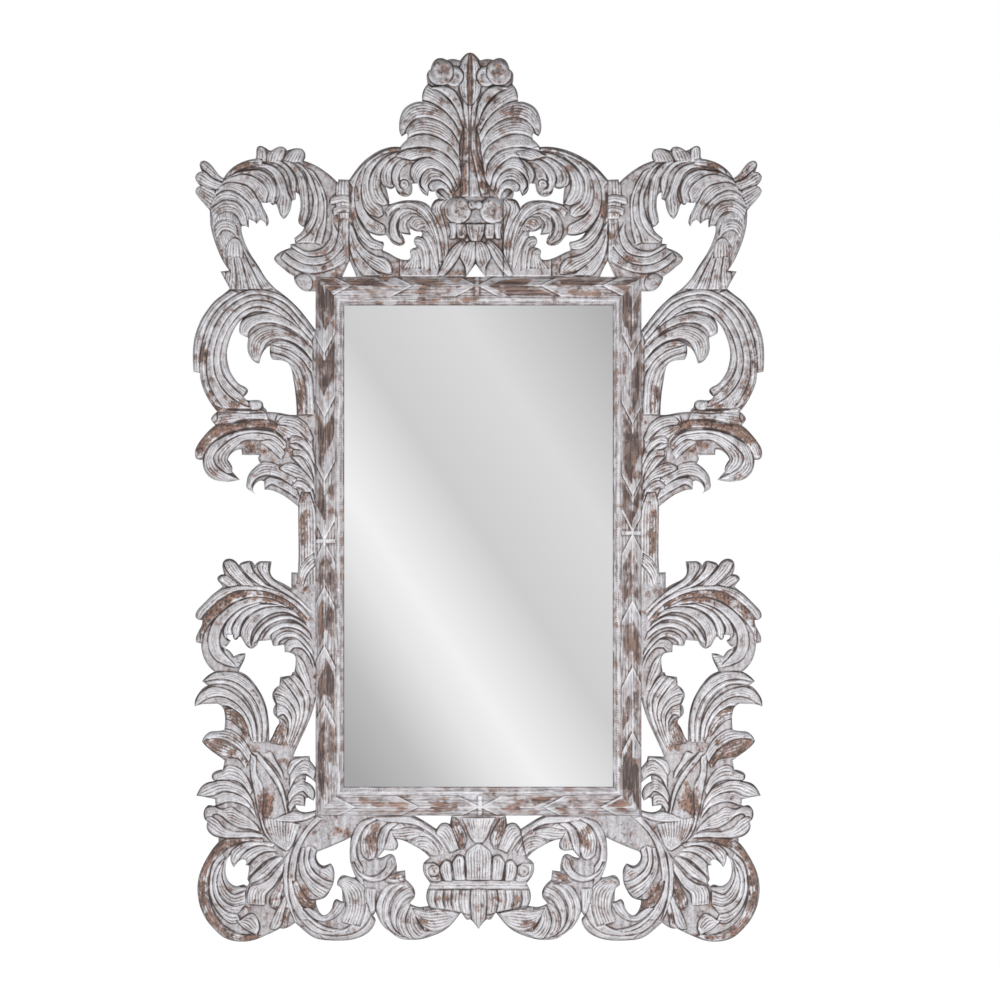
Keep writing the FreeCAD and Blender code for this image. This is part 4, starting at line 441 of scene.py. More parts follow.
crestCentre = {
    "low": 32, "crown": 8, "rise": 5,
    "strips": [
        "461,178 456,165 447,155 435,149 418,148 404,151 396,156 | 3 | "
        "458,187 450,172 440,163 428,157 419,158 412,160",
        "458,187 450,172 440,163 428,157 419,160 413,166 411,173 417,185 | 3 | "
        "455,191 448,178 438,170 429,169 422,174 419,182 421,189 427,194",
        "455,191 448,178 438,170 429,169 423,175 421,184 427,193 | 3 | "
        "453,194 446,184 439,180 432,181 428,186 430,190",
        "453,194 446,184 439,180 432,181 429,187 434,190 | 3 | "
        "451,198 446,191 441,188 437,190 436,194 438,198 445,199",
        "462,240 454,246 448,254 443,264 438,275 | 3 | 466,243 461,252 455,262 449,270 443,276",
        "474,240 467,243 462,250 461,258 466,264 | 1 | 475,240 475,250 474,263 470,270 466,276",
        "463,128 457,112 449,101 440,93 431,87 427,84 | 3 | 461,134 452,119 442,109 431,102 422,99",
        "461,134 452,119 442,109 431,103 418,101 408,105 401,114 399,124 401,134 | 4 | "
        "459,143 451,130 441,122 429,118 417,119 409,125 404,133",
        "459,143 451,130 441,122 429,118 417,119 409,125 405,133 | 4 | "
        "459,157 450,145 439,138 427,134 414,135 406,139",
        "459,157 450,145 439,138 427,134 414,136 406,140 401,146 | 4 | "
        "461,178 456,165 447,155 435,149 422,147 410,148 401,150",
        "466,128 463,112 459,98 453,90 444,86 | 2 | 462,124 456,108 449,98 440,91 430,88",
        "460,196 462,165 464,135 463,100 | 2s | 469,196 469,160 469,130 468,100 | 2s | "
        "479,196 477,160 476,130 474,100",
        "467,105 461,94 459,81 460,68 466,56 469,53 | 1 | 468,106 468,94 468,82 468,68 469,53",
        "468,106 468,94 468,82 468,68 469,53 | 1b | 471,105 477,94 478,81 477,68 471,53",
        "449,223 451,231 450,238 | 1 | 456,223 456,231 455,238",
        "457,224 457,232 458,238 | 1 | 465,224 466,232 465,238",
        "466,224 468,234 471,241 | 1 | 476,224 477,234 476,241",
    ],
    "discs": [(454, 76, 10, 1), (441, 72, 13, 1), (458, 210, 13, 1), (472, 205, 4, 0)],
    "patches": [(466, 140, 5, 22, 0.5), (464, 180, 5, 14, 0.7), (470, 78, 3, 14, 0.8),
                (446, 100, 6, 4, 0.5), (462, 232, 12, 6, 0.3), (441, 70, 5, 5, 0.5),
                (430, 112, 12, 4, 0.4), (452, 192, 5, 4, 0.6)],
}
planks = {
    "shoulder_scroll": shoulder,
    "side_scroll": sideScroll,
    "side_leaf": sideLeaf,
    "side_strip": sideStrip,
    "lower_leaf": lowerLeaf,
    "plume": plume,
    "corner_scroll": cornerScroll,
    "apron_scroll": apronScroll,
    "apron_shell": apronShell,
    "crest_scroll": crestScroll,
    "crest_centre": crestCentre,
}


def smoothed(values, times):
    for _ in range(times):
        for way in (0, 1):
            values = (np.roll(values, 1, way) + 2 * values + np.roll(values, -1, way)) / 4
    return values


def neighbours(values, pick):
    for way in (0, 1):
        values = pick(pick(np.roll(values, 1, way), np.roll(values, -1, way)), values)
    return values


def blended(values, row, column):
    # A table's values read between its rows and columns.
    r, c = row.astype(int), column.astype(int)
    dr, dc = row - r, column - c
    return ((values[r, c] * (1 - dc) + values[r, c + 1] * dc) * (1 - dr)
            + (values[r + 1, c] * (1 - dc) + values[r + 1, c + 1] * dc) * dr)


def grown(small, rows, columns):
    # A small table of values drawn out smoothly over a larger one.
    return blended(small, rows * (small.shape[0] - 1.001), columns * (small.shape[1] - 1.001))


# One map of the left half's carving: heights above the back in millimetres, and bare wood.
carvingMap = {
    "left": 184, "top": 42, "right": 500, "bottom": 952,
    "cell": 0.4,            # of a pixel
    "ground": 26, "crestGround": 30, "apronGround": 29,
    "ceiling": 37.4, "middleCeiling": 45.4,
    "crestFrom": 400, "apronFrom": 424,   # columns
    "overlap": 1.6,         # stamped points per cell
    "broadLeaf": 12, "leastCrown": 0.35,
    "archFoot": 0.60, "archTop": 0.40, "archPower": 0.7, "tilt": 0.34,
    "sunkBy": 4, "tipFrom": 0.84, "tipDrop": 4, "rootTo": 0.1, "rootDrop": 1.5,
    "flutePitch": 5.6, "fluteShare": 0.40, "leastFlute": 0.15, "fluteDepth": 2.2, "sunkFlute": 0.4,
    "fluteEnd": 0.7, "fluteWall": 0.3, "flutePower": 1.4,   # shares of one flute's width
    "cutDepth": 3.4, "cutShare": 0.22, "cutReach": 1.6,
    "streakLength": 16, "streakWidth": 1.3,
    "bareLeaf": 0.75, "bareCrest": 0.14, "bareUpper": 0.11,
    "apronSeam": 318, "apronStainAndShade": 0.75,
    "unevenness": 0.5, "waveReach": 40,   # a reach is a number of smoothing passes
    "nearReach": 8, "nearDepth": 0.85, "wideReach": 60, "wideDepth": 4, "ridgeHeight": 0.45,
    "margin": 3,            # cells round a stamp
}
cell = carvingMap["cell"]
mapColumns = int((carvingMap["right"] - carvingMap["left"]) / cell)
mapRows = int((carvingMap["bottom"] - carvingMap["top"]) / cell)
heightMap = np.full((mapRows, mapColumns), carvingMap["ground"])
columnAt = carvingMap["left"] + (np.arange(mapColumns) + 0.5) * cell
rowAt = carvingMap["top"] + (np.arange(mapRows) + 0.5) * cell
inCrest = (rowAt[:, None] < picture["frameTop"]) & (columnAt[None, :] > carvingMap["crestFrom"])
inApron = (rowAt[:, None] > picture["frameBottom"]) & (columnAt[None, :] > carvingMap["apronFrom"])
heightMap[inCrest] = carvingMap["crestGround"]
heightMap[inApron] = carvingMap["apronGround"]
bareMap = np.full_like(heightMap, 0.2)
randomHands = np.random.default_rng(7)
streakMap = smoothed(randomHands.normal(size=(mapRows // 24, mapColumns // 2)), 1)
downMap, acrossMap = np.meshgrid(np.linspace(0, 1, mapRows), np.linspace(0, 1, mapColumns), indexing="ij")
streakMap = grown(streakMap, downMap, acrossMap)


def tracedEdge(text, count):
    # A smooth curve through the traced points, as count points evenly along it.
    points = np.array([[float(value) for value in pair.split(",")] for pair in text.split()])
    steps = np.linalg.norm(np.diff(points, axis=0), axis=1)
    along = np.concatenate([[0], np.cumsum(steps)])
    if len(points) > 2:
        slopes = np.gradient(points, along, axis=0)
    else:
        slopes = np.repeat(np.diff(points, axis=0) / along[-1], 2, 0)
    where = np.linspace(0, along[-1], count)
    first = np.clip(np.searchsorted(along, where, side="right") - 1, 0, len(steps) - 1)
    share = ((where - along[first]) / steps[first])[:, None]
    span = steps[first][:, None]
    return ((2 * share ** 3 - 3 * share ** 2 + 1) * points[first]
            + (share ** 3 - 2 * share ** 2 + share) * span * slopes[first]
            + (3 * share ** 2 - 2 * share ** 3) * points[first + 1]
            + (share ** 3 - share ** 2) * span * slopes[first + 1])


def stamp(places, heights, streaks, bareness):
    # One leaf is laid over whatever was carved before it.
    columns = ((places[..., 0] - carvingMap["left"]) / cell).astype(int).ravel()
    rows = ((places[..., 1] - carvingMap["top"]) / cell).astype(int).ravel()
    margin = carvingMap["margin"]
    columns = np.clip(columns, margin, mapColumns - 1 - margin)
    rows = np.clip(rows, margin, mapRows - 1 - margin)
    left, top = columns.min() - margin, rows.min() - margin
    shape = (rows.max() - top + margin + 1, columns.max() - left + margin + 1)
    local, localStreaks = np.full(shape, -1.0), np.zeros(shape)
    np.maximum.at(local, (rows - top, columns - left), heights.ravel())
    localStreaks[rows - top, columns - left] = streaks.ravel()
    spread = neighbours(local, np.maximum)
    covered = neighbours(spread, np.minimum) > 0
    window = (slice(top, top + shape[0]), slice(left, left + shape[1]))
    heightMap[window] = np.where(covered, np.where(local > 0, local, spread), heightMap[window])
    streakMap[window] = np.where(covered, localStreaks, streakMap[window])
    bareMap[window] = np.where(covered, bareness, bareMap[window])


def layLeaf(firstText, secondText, flutes, isBare, isSunk, style):
    rough = tracedEdge(firstText, 40)
    length = np.linalg.norm(np.diff(rough, axis=0), axis=1).sum()
    count = int(length / cell * carvingMap["overlap"]) + 10
    first, second = tracedEdge(firstText, count), tracedEdge(secondText, count)
    width = np.linalg.norm(first - second, axis=1)
    across = np.linspace(0, 1, int(width.max() / cell * carvingMap["overlap"]) + 8)[None, :]
    along = np.linspace(0, 1, count)[:, None]
    places = first[:, None, :] * (1 - across[..., None]) + second[:, None, :] * across[..., None]
    widthHere = width[:, None] * pixelSize / millimetre
    carving = carvingMap
    crown = style["crown"] * np.clip(widthHere / carving["broadLeaf"], carving["leastCrown"], 1)
    arch = carving["archFoot"] + carving["archTop"] * np.sin(np.pi * across) ** carving["archPower"]
    arch = arch + carving["tilt"] * (across - 0.5)
    low = style["low"] - (carving["sunkBy"] if isSunk else 0)
    heights = low + crown * arch + style["rise"] * along ** 1.5
    tip = np.clip((along - carving["tipFrom"]) / (1 - carving["tipFrom"]), 0, 1)
    heights = heights - carving["tipDrop"] * tip ** 2
    heights = heights - carving["rootDrop"] * (1 - np.clip(along / carving["rootTo"], 0, 1))
    cuts = max(flutes, round(widthHere.max() / carving["flutePitch"]))
    depth = np.clip(widthHere / cuts * carving["fluteShare"], carving["leastFlute"], carving["fluteDepth"])
    depth = depth * (carving["sunkFlute"] if isSunk else 1)
    place = (across * cuts) % 1
    scoop = (place / carving["fluteEnd"]) ** carving["flutePower"]
    wall = (1 - place) / carving["fluteWall"]
    heights = heights - depth * np.where(place < carving["fluteEnd"], scoop, wall)
    fromEdge = np.minimum(across, 1 - across) * widthHere
    cut = np.minimum(carving["cutDepth"], carving["cutShare"] * widthHere)
    heights = heights - cut * np.clip(1 - fromEdge / carving["cutReach"], 0, 1)
    rows = int(length * pixelSize / millimetre / carving["streakLength"]) + 3
    small = randomHands.normal(size=(rows, int(widthHere.max() / carving["streakWidth"]) + 3))
    streaks = grown(small, along + 0 * across, across + 0 * along)
    stamp(places, heights, streaks, carving["bareLeaf"] if isBare else 0)


def layDisc(column, row, radius, turns, style):
    count = int(radius / cell * 2)
    distance = np.linspace(0, 1, count)[:, None]
    angle = np.linspace(0, 2 * math.pi, count * 4)[None, :]
    places = np.stack([column + radius * distance * np.cos(angle),
                       row + radius * distance * np.sin(angle)], -1)
    heights = style["low"] + (style["crown"] + 2) * np.sqrt(1 - 0.98 * distance ** 2) + 0 * angle
    if turns:
        heights = heights + 1.3 * np.cos(2 * math.pi * turns * distance * 1.2 - angle) * (distance > 0.12) - 1
    stamp(places, heights, 0.5 * np.cos(9 * distance - angle), 0)


for plank in planks.values():
    leaves = []
    for strip in plank["strips"]:
        parts = strip.split("|")
        leaves += zip(parts[0:-1:2], parts[1::2], parts[2::2])
    for first, flutes, second in sorted(leaves, key=lambda leaf: "s" not in leaf[1]):
        layLeaf(first, second, int(flutes.strip(" bs")), "b" in flutes, "s" in flutes, plank)
    for disc in plank["discs"]:
        layDisc(*disc, plank)
    for column, row, wide, high, strength in plank["patches"]:
        reach = ((columnAt[None, :] - column) / wide) ** 2 + ((rowAt[:, None] - row) / high) ** 2
        bareMap = np.maximum(bareMap, strength * np.exp(-reach ** 1.5 * 0.7))
ceiling = np.where(inCrest | inApron, carvingMap["middleCeiling"], carvingMap["ceiling"])
heightMap = smoothed(np.minimum(heightMap, ceiling), 1)
waves = smoothed(randomHands.normal(size=heightMap.shape), carvingMap["waveReach"])
heightMap = np.minimum(heightMap + carvingMap["unevenness"] * waves / waves.std(), ceiling)
bareMap = smoothed(bareMap, 6)
streakMap = smoothed(streakMap, 1)
# The hollow measure marks cuts, creases and low ground; the paint is darkened there with dark stain and
# painted shade.
nearLevel, wideLevel = (smoothed(heightMap, carvingMap[reach]) for reach in ("nearReach", "wideReach"))
nearHollow = np.clip((nearLevel - heightMap) / carvingMap["nearDepth"], 0, 1)
wideHollow = np.clip((wideLevel - heightMap) / carvingMap["wideDepth"], 0, 1)
hollowMap = np.clip(0.9 * nearHollow + 0.12 * wideHollow, 0, 1)
# Under the frame the apron gets less of this stain and painted shade.
underFrame = (rowAt[:, None] > picture["frameBottom"]) & (columnAt[None, :] > carvingMap["apronSeam"])
hollowMap *= np.where(underFrame, carvingMap["apronStainAndShade"], 1)
ridgeMap = np.clip((heightMap - nearLevel) / carvingMap["ridgeHeight"], 0, 1)
# The crest and the rest of the upper half get more bare wood mixed in, so the carving comes out darker
# towards the top.
overFrame = (rowAt[:, None] < picture["frameTop"]) & (columnAt[None, :] > picture["crestSeam"])
upperHalf = rowAt[:, None] < picture["middle"]
bareMap += np.where(overFrame, carvingMap["bareCrest"], carvingMap["bareUpper"] * upperHalf)
print("carving map laid out", heightMap.shape)


def readMap(values, pixels):
    column = np.clip((pixels[:, 0] - carvingMap["left"]) / cell - 0.5, 0, mapColumns - 1.001)
    row = np.clip((pixels[:, 1] - carvingMap["top"]) / cell - 0.5, 0, mapRows - 1.001)
    return blended(values, row, column)


# Shared effects.
def feed(tree, node, **inputs):
    # A node's inputs by name, or by number as i0, i1 and so on: a link, or a value.
    for name, value in inputs.items():
        byNumber = name[0] == "i" and name[1:].isdigit()
        socket = node.inputs[int(name[1:])] if byNumber else node.inputs[name.replace("_", " ")]
        if isinstance(value, bpy.types.NodeSocket):
            tree.links.new(value, socket)
        else:
            socket.default_value = value
    return node


def addNode(tree, kind, settings=None, **inputs):
    made = tree.nodes.new(kind)
    for name, value in (settings or {}).items():
        setattr(made, name, value)
    return feed(tree, made, **inputs)


def mathNode(tree, operation, first, second=0.0):
    made = addNode(tree, "ShaderNodeMath", {"operation": operation}, i0=first, i1=second)
    return made.outputs[0]


def mixColors(tree, share, first, second):
    made = addNode(tree, "ShaderNodeMix", {"data_type": "RGBA"}, i0=share, i6=first, i7=second)
    return made.outputs[2]


def ramp(tree, value, low, high, start=0.0, end=1.0):
    made = addNode(tree, "ShaderNodeMapRange", {"interpolation_type": "SMOOTHSTEP"},
                   i0=value, i1=low, i2=high, i3=start, i4=end)
    return made.outputs[0]


def noise(tree, vector, scale, detail=3.0, roughness=0.55):
    made = addNode(tree, "ShaderNodeTexNoise", Vector=vector, Scale=scale, Detail=detail,
                   Roughness=roughness)
    return made.outputs[0]


def fromMiddle(tree, value, middle, amount, onto):
    # What value has beyond the middle, times amount, added onto another value.
    beyond = mathNode(tree, "SUBTRACT", value, middle) if middle else value
    made = addNode(tree, "ShaderNodeMath", {"operation": "MULTIPLY_ADD"}, i0=beyond, i1=amount, i2=onto)
    return made.outputs[0]


def stretched(tree, vector, amounts):
    return addNode(tree, "ShaderNodeVectorMath", {"operation": "MULTIPLY"}, i0=vector, i1=amounts).outputs[0]


def newGroup(name, inputs, outputs):
    group = bpy.data.node_groups.new(name, "ShaderNodeTree")
    for label, kind, value in inputs:
        socket = group.interface.new_socket(label, in_out="INPUT", socket_type=kind)
        if value is not None:
            socket.default_value = value
    for label, kind in outputs:
        group.interface.new_socket(label, in_out="OUTPUT", socket_type=kind)
    return group, group.nodes.new("NodeGroupInput").outputs, group.nodes.new("NodeGroupOutput").inputs


# Worn limewash over wood: pale paint, bare grain where it is rubbed, dark stain and painted shade in the
# cuts, and chalk and painted highlight on the ridges.
limewashColors = {
    "thinPaint": (0.22, 0.205, 0.21, 1),
    "thickPaint": (0.44, 0.435, 0.46, 1),
    "dirtyPaint": (0.36, 0.33, 0.33, 1),
    "chalkAndHighlight": (0.66, 0.66, 0.69, 1),
    "darkWood": (0.058, 0.038, 0.036, 1),
    "lightWood": (0.25, 0.15, 0.112, 1),
    "dustyWood": (0.36, 0.32, 0.31, 1),
    "scratch": (0.12, 0.095, 0.09, 1),
    "stain": (0.155, 0.125, 0.118, 1),
    "deepStainAndShade": (0.045, 0.034, 0.032, 1),
}
limewash, given, out = newGroup(
    "worn limewash",
    [("Vector", "NodeSocketVector", None), ("Grain Direction", "NodeSocketVector", (1, 1, 0.08)),
     ("Hollow", "NodeSocketFloat", 0.0), ("Ridge", "NodeSocketFloat", 0.0), ("Bare", "NodeSocketFloat", 0.0),
     ("Streak", "NodeSocketFloat", 0.0), ("Wear", "NodeSocketFloat", 0.0), ("Stain", "NodeSocketFloat", 1.0)],
    [("Color", "NodeSocketColor"), ("Roughness", "NodeSocketFloat"), ("Height", "NodeSocketFloat")])
grainVector = stretched(limewash, given["Vector"], given["Grain Direction"])
fine = noise(limewash, grainVector, 420, 4, 0.6)
long = noise(limewash, grainVector, 130, 3, 0.55)
blotches = noise(limewash, given["Vector"], 40, 5, 0.65)
clouds = noise(limewash, given["Vector"], 11, 3, 0.5)
specks = noise(limewash, grainVector, 240, 3, 0.6)
streaks = fromMiddle(limewash, given["Streak"], 0, 0.13, 0.5)
streaks = fromMiddle(limewash, fine, 0.5, 0.55, streaks)
wearMask = fromMiddle(limewash, blotches, 0.5, 1.5, 0.30)
wearMask = fromMiddle(limewash, long, 0.5, 0.9, wearMask)
wearMask = fromMiddle(limewash, given["Streak"], 0, 0.11, wearMask)
wearMask = fromMiddle(limewash, given["Bare"], 0, 0.45, wearMask)
wearMask = mathNode(limewash, "ADD", wearMask, given["Wear"])
wearMask = fromMiddle(limewash, given["Ridge"], 0, -0.12, wearMask)
wearMask = ramp(limewash, wearMask, 0.36, 0.66)
paint = mixColors(limewash, ramp(limewash, streaks, 0.36, 0.62),
                  limewashColors["thinPaint"], limewashColors["thickPaint"])
paint = mixColors(limewash, ramp(limewash, clouds, 0.35, 0.65, 0, 0.45), paint,
                  limewashColors["dirtyPaint"])
# Ridges are lightened towards chalk: partly paint left on the edges, partly painted highlight.
highlights = mathNode(limewash, "MULTIPLY", given["Ridge"], ramp(limewash, blotches, 0.35, 0.6, 0.9, 0.35))
paint = mixColors(limewash, highlights, paint, limewashColors["chalkAndHighlight"])
grain = fromMiddle(limewash, specks, 0, 1.2, -0.1)
grain = fromMiddle(limewash, given["Streak"], 0, 0.12, grain)
wood = mixColors(limewash, ramp(limewash, grain, 0.36, 0.66),
                 limewashColors["darkWood"], limewashColors["lightWood"])
wood = mixColors(limewash, ramp(limewash, streaks, 0.56, 0.74, 0, 0.6), wood, limewashColors["dustyWood"])
surface = mixColors(limewash, wearMask, paint, wood)
scratches = ramp(limewash, fromMiddle(limewash, blotches, 0, 0.25, streaks), 0.50, 0.38, 0, 0.7)
surface = mixColors(limewash, scratches, surface, limewashColors["scratch"])
# Cuts, creases and low ground between the leaves are darkened: partly dark stain left in them, partly painted
# shade.
stain = mathNode(limewash, "MULTIPLY", given["Hollow"], given["Stain"])
stain = mathNode(limewash, "MULTIPLY", stain, ramp(limewash, blotches, 0.34, 0.60, 0.3, 1.3))
stainedAndShaded = ramp(limewash, stain, 0.06, 0.50, 0, 0.75)
surface = mixColors(limewash, stainedAndShaded, surface, limewashColors["stain"])
deepStainedAndShaded = ramp(limewash, stain, 0.45, 0.95, 0, 0.88)
surface = mixColors(limewash, deepStainedAndShaded, surface, limewashColors["deepStainAndShade"])
limewash.links.new(surface, out["Color"])
limewash.links.new(ramp(limewash, wearMask, 0, 1, 0.78, 0.62), out["Roughness"])
reliefOfGrain = mathNode(limewash, "MULTIPLY", streaks, 0.5)
limewash.links.new(fromMiddle(limewash, wearMask, 0, -0.35, reliefOfGrain), out["Height"])

# Plain sawn wood, for what only shows at the back.
sawnWood, given, out = newGroup(
    "sawn wood",
    [("Vector", "NodeSocketVector", None), ("Grain Direction", "NodeSocketVector", (1, 1, 0.06)),
     ("Light", "NodeSocketColor", (0.42, 0.27, 0.15, 1)),
     ("Dark", "NodeSocketColor", (0.24, 0.14, 0.075, 1))],
    [("Color", "NodeSocketColor"), ("Roughness", "NodeSocketFloat"), ("Height", "NodeSocketFloat")])
grainVector = stretched(sawnWood, given["Vector"], given["Grain Direction"])
rings = noise(sawnWood, grainVector, 90, 6, 0.65)
pores = noise(sawnWood, grainVector, 900, 2, 0.5)
sawnColor = mixColors(sawnWood, ramp(sawnWood, rings, 0.36, 0.64), given["Dark"], given["Light"])
sawnColor = mixColors(sawnWood, ramp(sawnWood, pores, 0.42, 0.30, 0, 0.4), sawnColor, (0.10, 0.06, 0.035, 1))
sawnWood.links.new(sawnColor, out["Color"])
sawnWood.links.new(ramp(sawnWood, rings, 0.3, 0.7, 0.82, 0.66), out["Roughness"])
sawnWood.links.new(mathNode(sawnWood, "ADD", rings, pores), out["Height"])


def clearedTree(owner):
    owner.use_nodes = True
    owner.node_tree.nodes.clear()
    return owner.node_tree


def newMaterial(name):
    material = bpy.data.materials.new(name)
    tree = clearedTree(material)
    shader = tree.nodes.new("ShaderNodeBsdfPrincipled")
    addNode(tree, "ShaderNodeOutputMaterial", Surface=shader.outputs[0])
    place = tree.nodes.new("ShaderNodeTexCoord").outputs["Object"]
    return material, tree, shader, place


def dressWith(tree, shader, group, distance, **inputs):
    used = addNode(tree, "ShaderNodeGroup", {"node_tree": group}, **inputs)
    bump = addNode(tree, "ShaderNodeBump", Strength=1.0, Distance=distance, Height=used.outputs["Height"])
    feed(tree, shader, Base_Color=used.outputs["Color"], Roughness=used.outputs["Roughness"],
         Normal=bump.outputs[0])


def limedMaterial(name, direction, wear, stain):
    material, tree, shader, place = newMaterial(name)
    traits = {trait: addNode(tree, "ShaderNodeAttribute", {"attribute_name": trait}).outputs["Fac"]
              for trait in ("hollow", "ridge", "bare", "streak")}
    dressWith(tree, shader, limewash, 0.0005, Vector=place, Grain_Direction=direction,
              Hollow=traits["hollow"], Ridge=traits["ridge"], Bare=traits["bare"],
              Streak=traits["streak"], Wear=wear, Stain=stain)
    return material


def sawnMaterial(name, direction, light, dark):
    material, tree, shader, place = newMaterial(name)
    dressWith(tree, shader, sawnWood, 0.0004, Vector=place, Grain_Direction=direction, Light=light, Dark=dark)
    return material


limedCarving = limedMaterial("limed carving", (1, 1, 0.7), 0.03, 1.15)
limedStile = limedMaterial("limed stile", (1, 1, 0.05), 0.0, 1.0)
limedRail = limedMaterial("limed rail", (0.05, 1, 1), 0.06, 1.0)
# The bottom rail's copy has less wear and a weaker stain and shade than the top rail's, so it comes out
# paler.
limedLowRail = limedMaterial("limed low rail", (0.05, 1, 1), -0.03, 0.8)
sawnPlank = sawnMaterial("sawn plank", (1, 1, 0.06), (0.42, 0.27, 0.15, 1), (0.24, 0.14, 0.075, 1))
sawnBatten = sawnMaterial("sawn batten", (1, 1, 0.05), (0.50, 0.34, 0.20, 1), (0.32, 0.20, 0.11, 1))
hardboard = sawnMaterial("hardboard", (1, 1, 1), (0.26, 0.16, 0.09, 1), (0.20, 0.12, 0.065, 1))

mirrorSilver, tree, shader, place = newMaterial("mirror silver")
feed(tree, shader, Base_Color=(0.93, 0.93, 0.94, 1), Metallic=1, Roughness=0.015)

zinc, tree, shader, place = newMaterial("zinc plate")
zincSheen = ramp(tree, noise(tree, place, 320, 4), 0.3, 0.7, 0.26, 0.42)
zincColor = mixColors(tree, noise(tree, place, 90, 3), (0.50, 0.50, 0.49, 1), (0.66, 0.66, 0.67, 1))
feed(tree, shader, Base_Color=zincColor, Metallic=1, Roughness=zincSheen)

blackRubber, tree, shader, place = newMaterial("black rubber")
rubberColor = mixColors(tree, noise(tree, place, 700, 3), (0.012, 0.012, 0.013, 1), (0.03, 0.03, 0.032, 1))
grip = addNode(tree, "ShaderNodeBump", Strength=0.6, Distance=0.0003, Height=noise(tree, place, 1500, 2))
feed(tree, shader, Base_Color=rubberColor, Roughness=0.75, Normal=grip.outputs[0])
print("materials made")


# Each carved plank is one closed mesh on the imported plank's own outline.
plankMesh = {
    "step": 1.05,           # millimetres between points on the front
    "backStep": 9.0,
    "closest": 0.35, "clearance": 0.55,   # shares of a step
    "onFrame": 0.6, "pastCorner": 1.0,
    "edgeRound": 6.0, "edgeDrop": 8.5,
    "edgePower": 2.2,
    "touching": 0.8,        # nearer than this to another plank's edge is a seam
    "seamGroove": 0.25, "seamReach": 1.2, "seamHollow": 0.12, "clearOfEdge": 3,
    "smallestHole": 8.0,
    "backHollow": 0.1, "backBare": 0.35,
}


def backLoops(node):
    # The outline and holes of a plank's flat back, as closed rings of points in millimetres.
    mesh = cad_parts[node].data
    mesh.calc_loop_triangles()
    co = np.zeros(len(mesh.vertices) * 3)
    mesh.vertices.foreach_get("co", co)
    co = co.reshape(-1, 3) / millimetre
    triangles = np.zeros(len(mesh.loop_triangles) * 3, int)
    mesh.loop_triangles.foreach_get("vertices", triangles)
    triangles = triangles.reshape(-1, 3)
    flat = triangles[(np.abs(co[triangles][:, :, 1]) < 0.01).all(axis=1)]
    keys, index = np.unique(np.round(co[:, [0, 2]] * 1000).astype(int), axis=0, return_inverse=True)
    index = index.reshape(-1)
    count = {}
    for a, b, c in index[flat]:
        for pair in ((a, b), (b, c), (c, a)):
            pair = (min(pair), max(pair))
            count[pair] = count.get(pair, 0) + 1
    follow = {}
    for (a, b), times in count.items():
        if times == 1:
            follow.setdefault(a, []).append(b)
            follow.setdefault(b, []).append(a)
    loops = []
    while follow:
        here = start = next(iter(follow))
        loop = []
        while here in follow:
            loop.append(keys[here] / 1000)
            onward = follow[here].pop()
            if not follow[here]:
                del follow[here]
            follow[onward].remove(here)
            if not follow[onward]:
                del follow[onward]
            here = onward
        loop = np.array(loop)
        if np.ptp(loop, axis=0).max() > plankMesh["smallestHole"]:
            loops.append(loop)
    return loops


def evenly(loop, step):
    points = []
    for here, onward in zip(loop, np.roll(loop, -1, axis=0)):
        parts = max(1, int(round(np.linalg.norm(onward - here) / step)))
        points += [here + (onward - here) * part / parts for part in range(parts)]
    kept = [points[0]]
    for point in points[1:]:
        if np.linalg.norm(point - kept[-1]) > plankMesh["closest"] * step:
            kept.append(point)
    if np.linalg.norm(kept[-1] - kept[0]) < plankMesh["closest"] * step:
        kept.pop()
    return np.array(kept)


def insideLoops(loops, points):
    inside = np.zeros(len(points), bool)
    for loop in loops:
        for (ax, az), (bx, bz) in zip(loop, np.roll(loop, -1, axis=0)):
            if az == bz:
                continue
            crosses = (az > points[:, 1]) != (bz > points[:, 1])
            inside ^= crosses & (points[:, 0] < (bx - ax) * (points[:, 1] - az) / (bz - az) + ax)
    return inside


def treeOf(points):
    tree = kdtree.KDTree(max(1, len(points)))
    for number, point in enumerate(points):
        tree.insert((point[0], point[1], 0), number)
    tree.balance()
    return tree


def distancesTo(tree, points):
    return np.array([tree.find((x, z, 0))[2] for x, z in points])


def gridInside(loops, edgeTree, step):
    low = np.min([loop.min(axis=0) for loop in loops], axis=0)
    high = np.max([loop.max(axis=0) for loop in loops], axis=0)
    xs, zs = np.arange(low[0], high[0], step), np.arange(low[1], high[1], step)
    grid = np.stack(np.meshgrid(xs, zs), -1).reshape(-1, 2)
    grid = grid[insideLoops(loops, grid)]
    return grid[distancesTo(edgeTree, grid) > plankMesh["clearance"] * step]


def triangulated(loops, ringPoints, innerPoints):
    edges, start = [], 0
    for loop in loops:
        edges += [(start + i, start + (i + 1) % len(loop)) for i in range(len(loop))]
        start += len(loop)
    points = np.vstack([ringPoints, innerPoints]) if len(innerPoints) else ringPoints
    corners, _, faces, origin, _, _ = delaunay_2d_cdt([Vector(point) for point in points], edges, [], 0, 1e-5)
    corners = np.array([tuple(corner) for corner in corners])
    faces = np.array([tuple(face) for face in faces])
    onRing = np.array([any(number < start for number in names) for names in origin])
    doubtful = onRing[faces].all(axis=1)
    keep = ~doubtful
    keep[doubtful] = insideLoops(loops, corners[faces[doubtful]].mean(axis=1))
    place = {}
    for number, names in enumerate(origin):
        for name in names:
            place[name] = number
    return corners, faces[keep], place


def borderOf(faces):
    runs = np.vstack([faces[:, [0, 1]], faces[:, [1, 2]], faces[:, [2, 0]]])
    size = int(runs.max()) + 1
    forward = runs[:, 0] * size + runs[:, 1]
    backward = runs[:, 1] * size + runs[:, 0]
    return runs[~np.isin(forward, backward)]


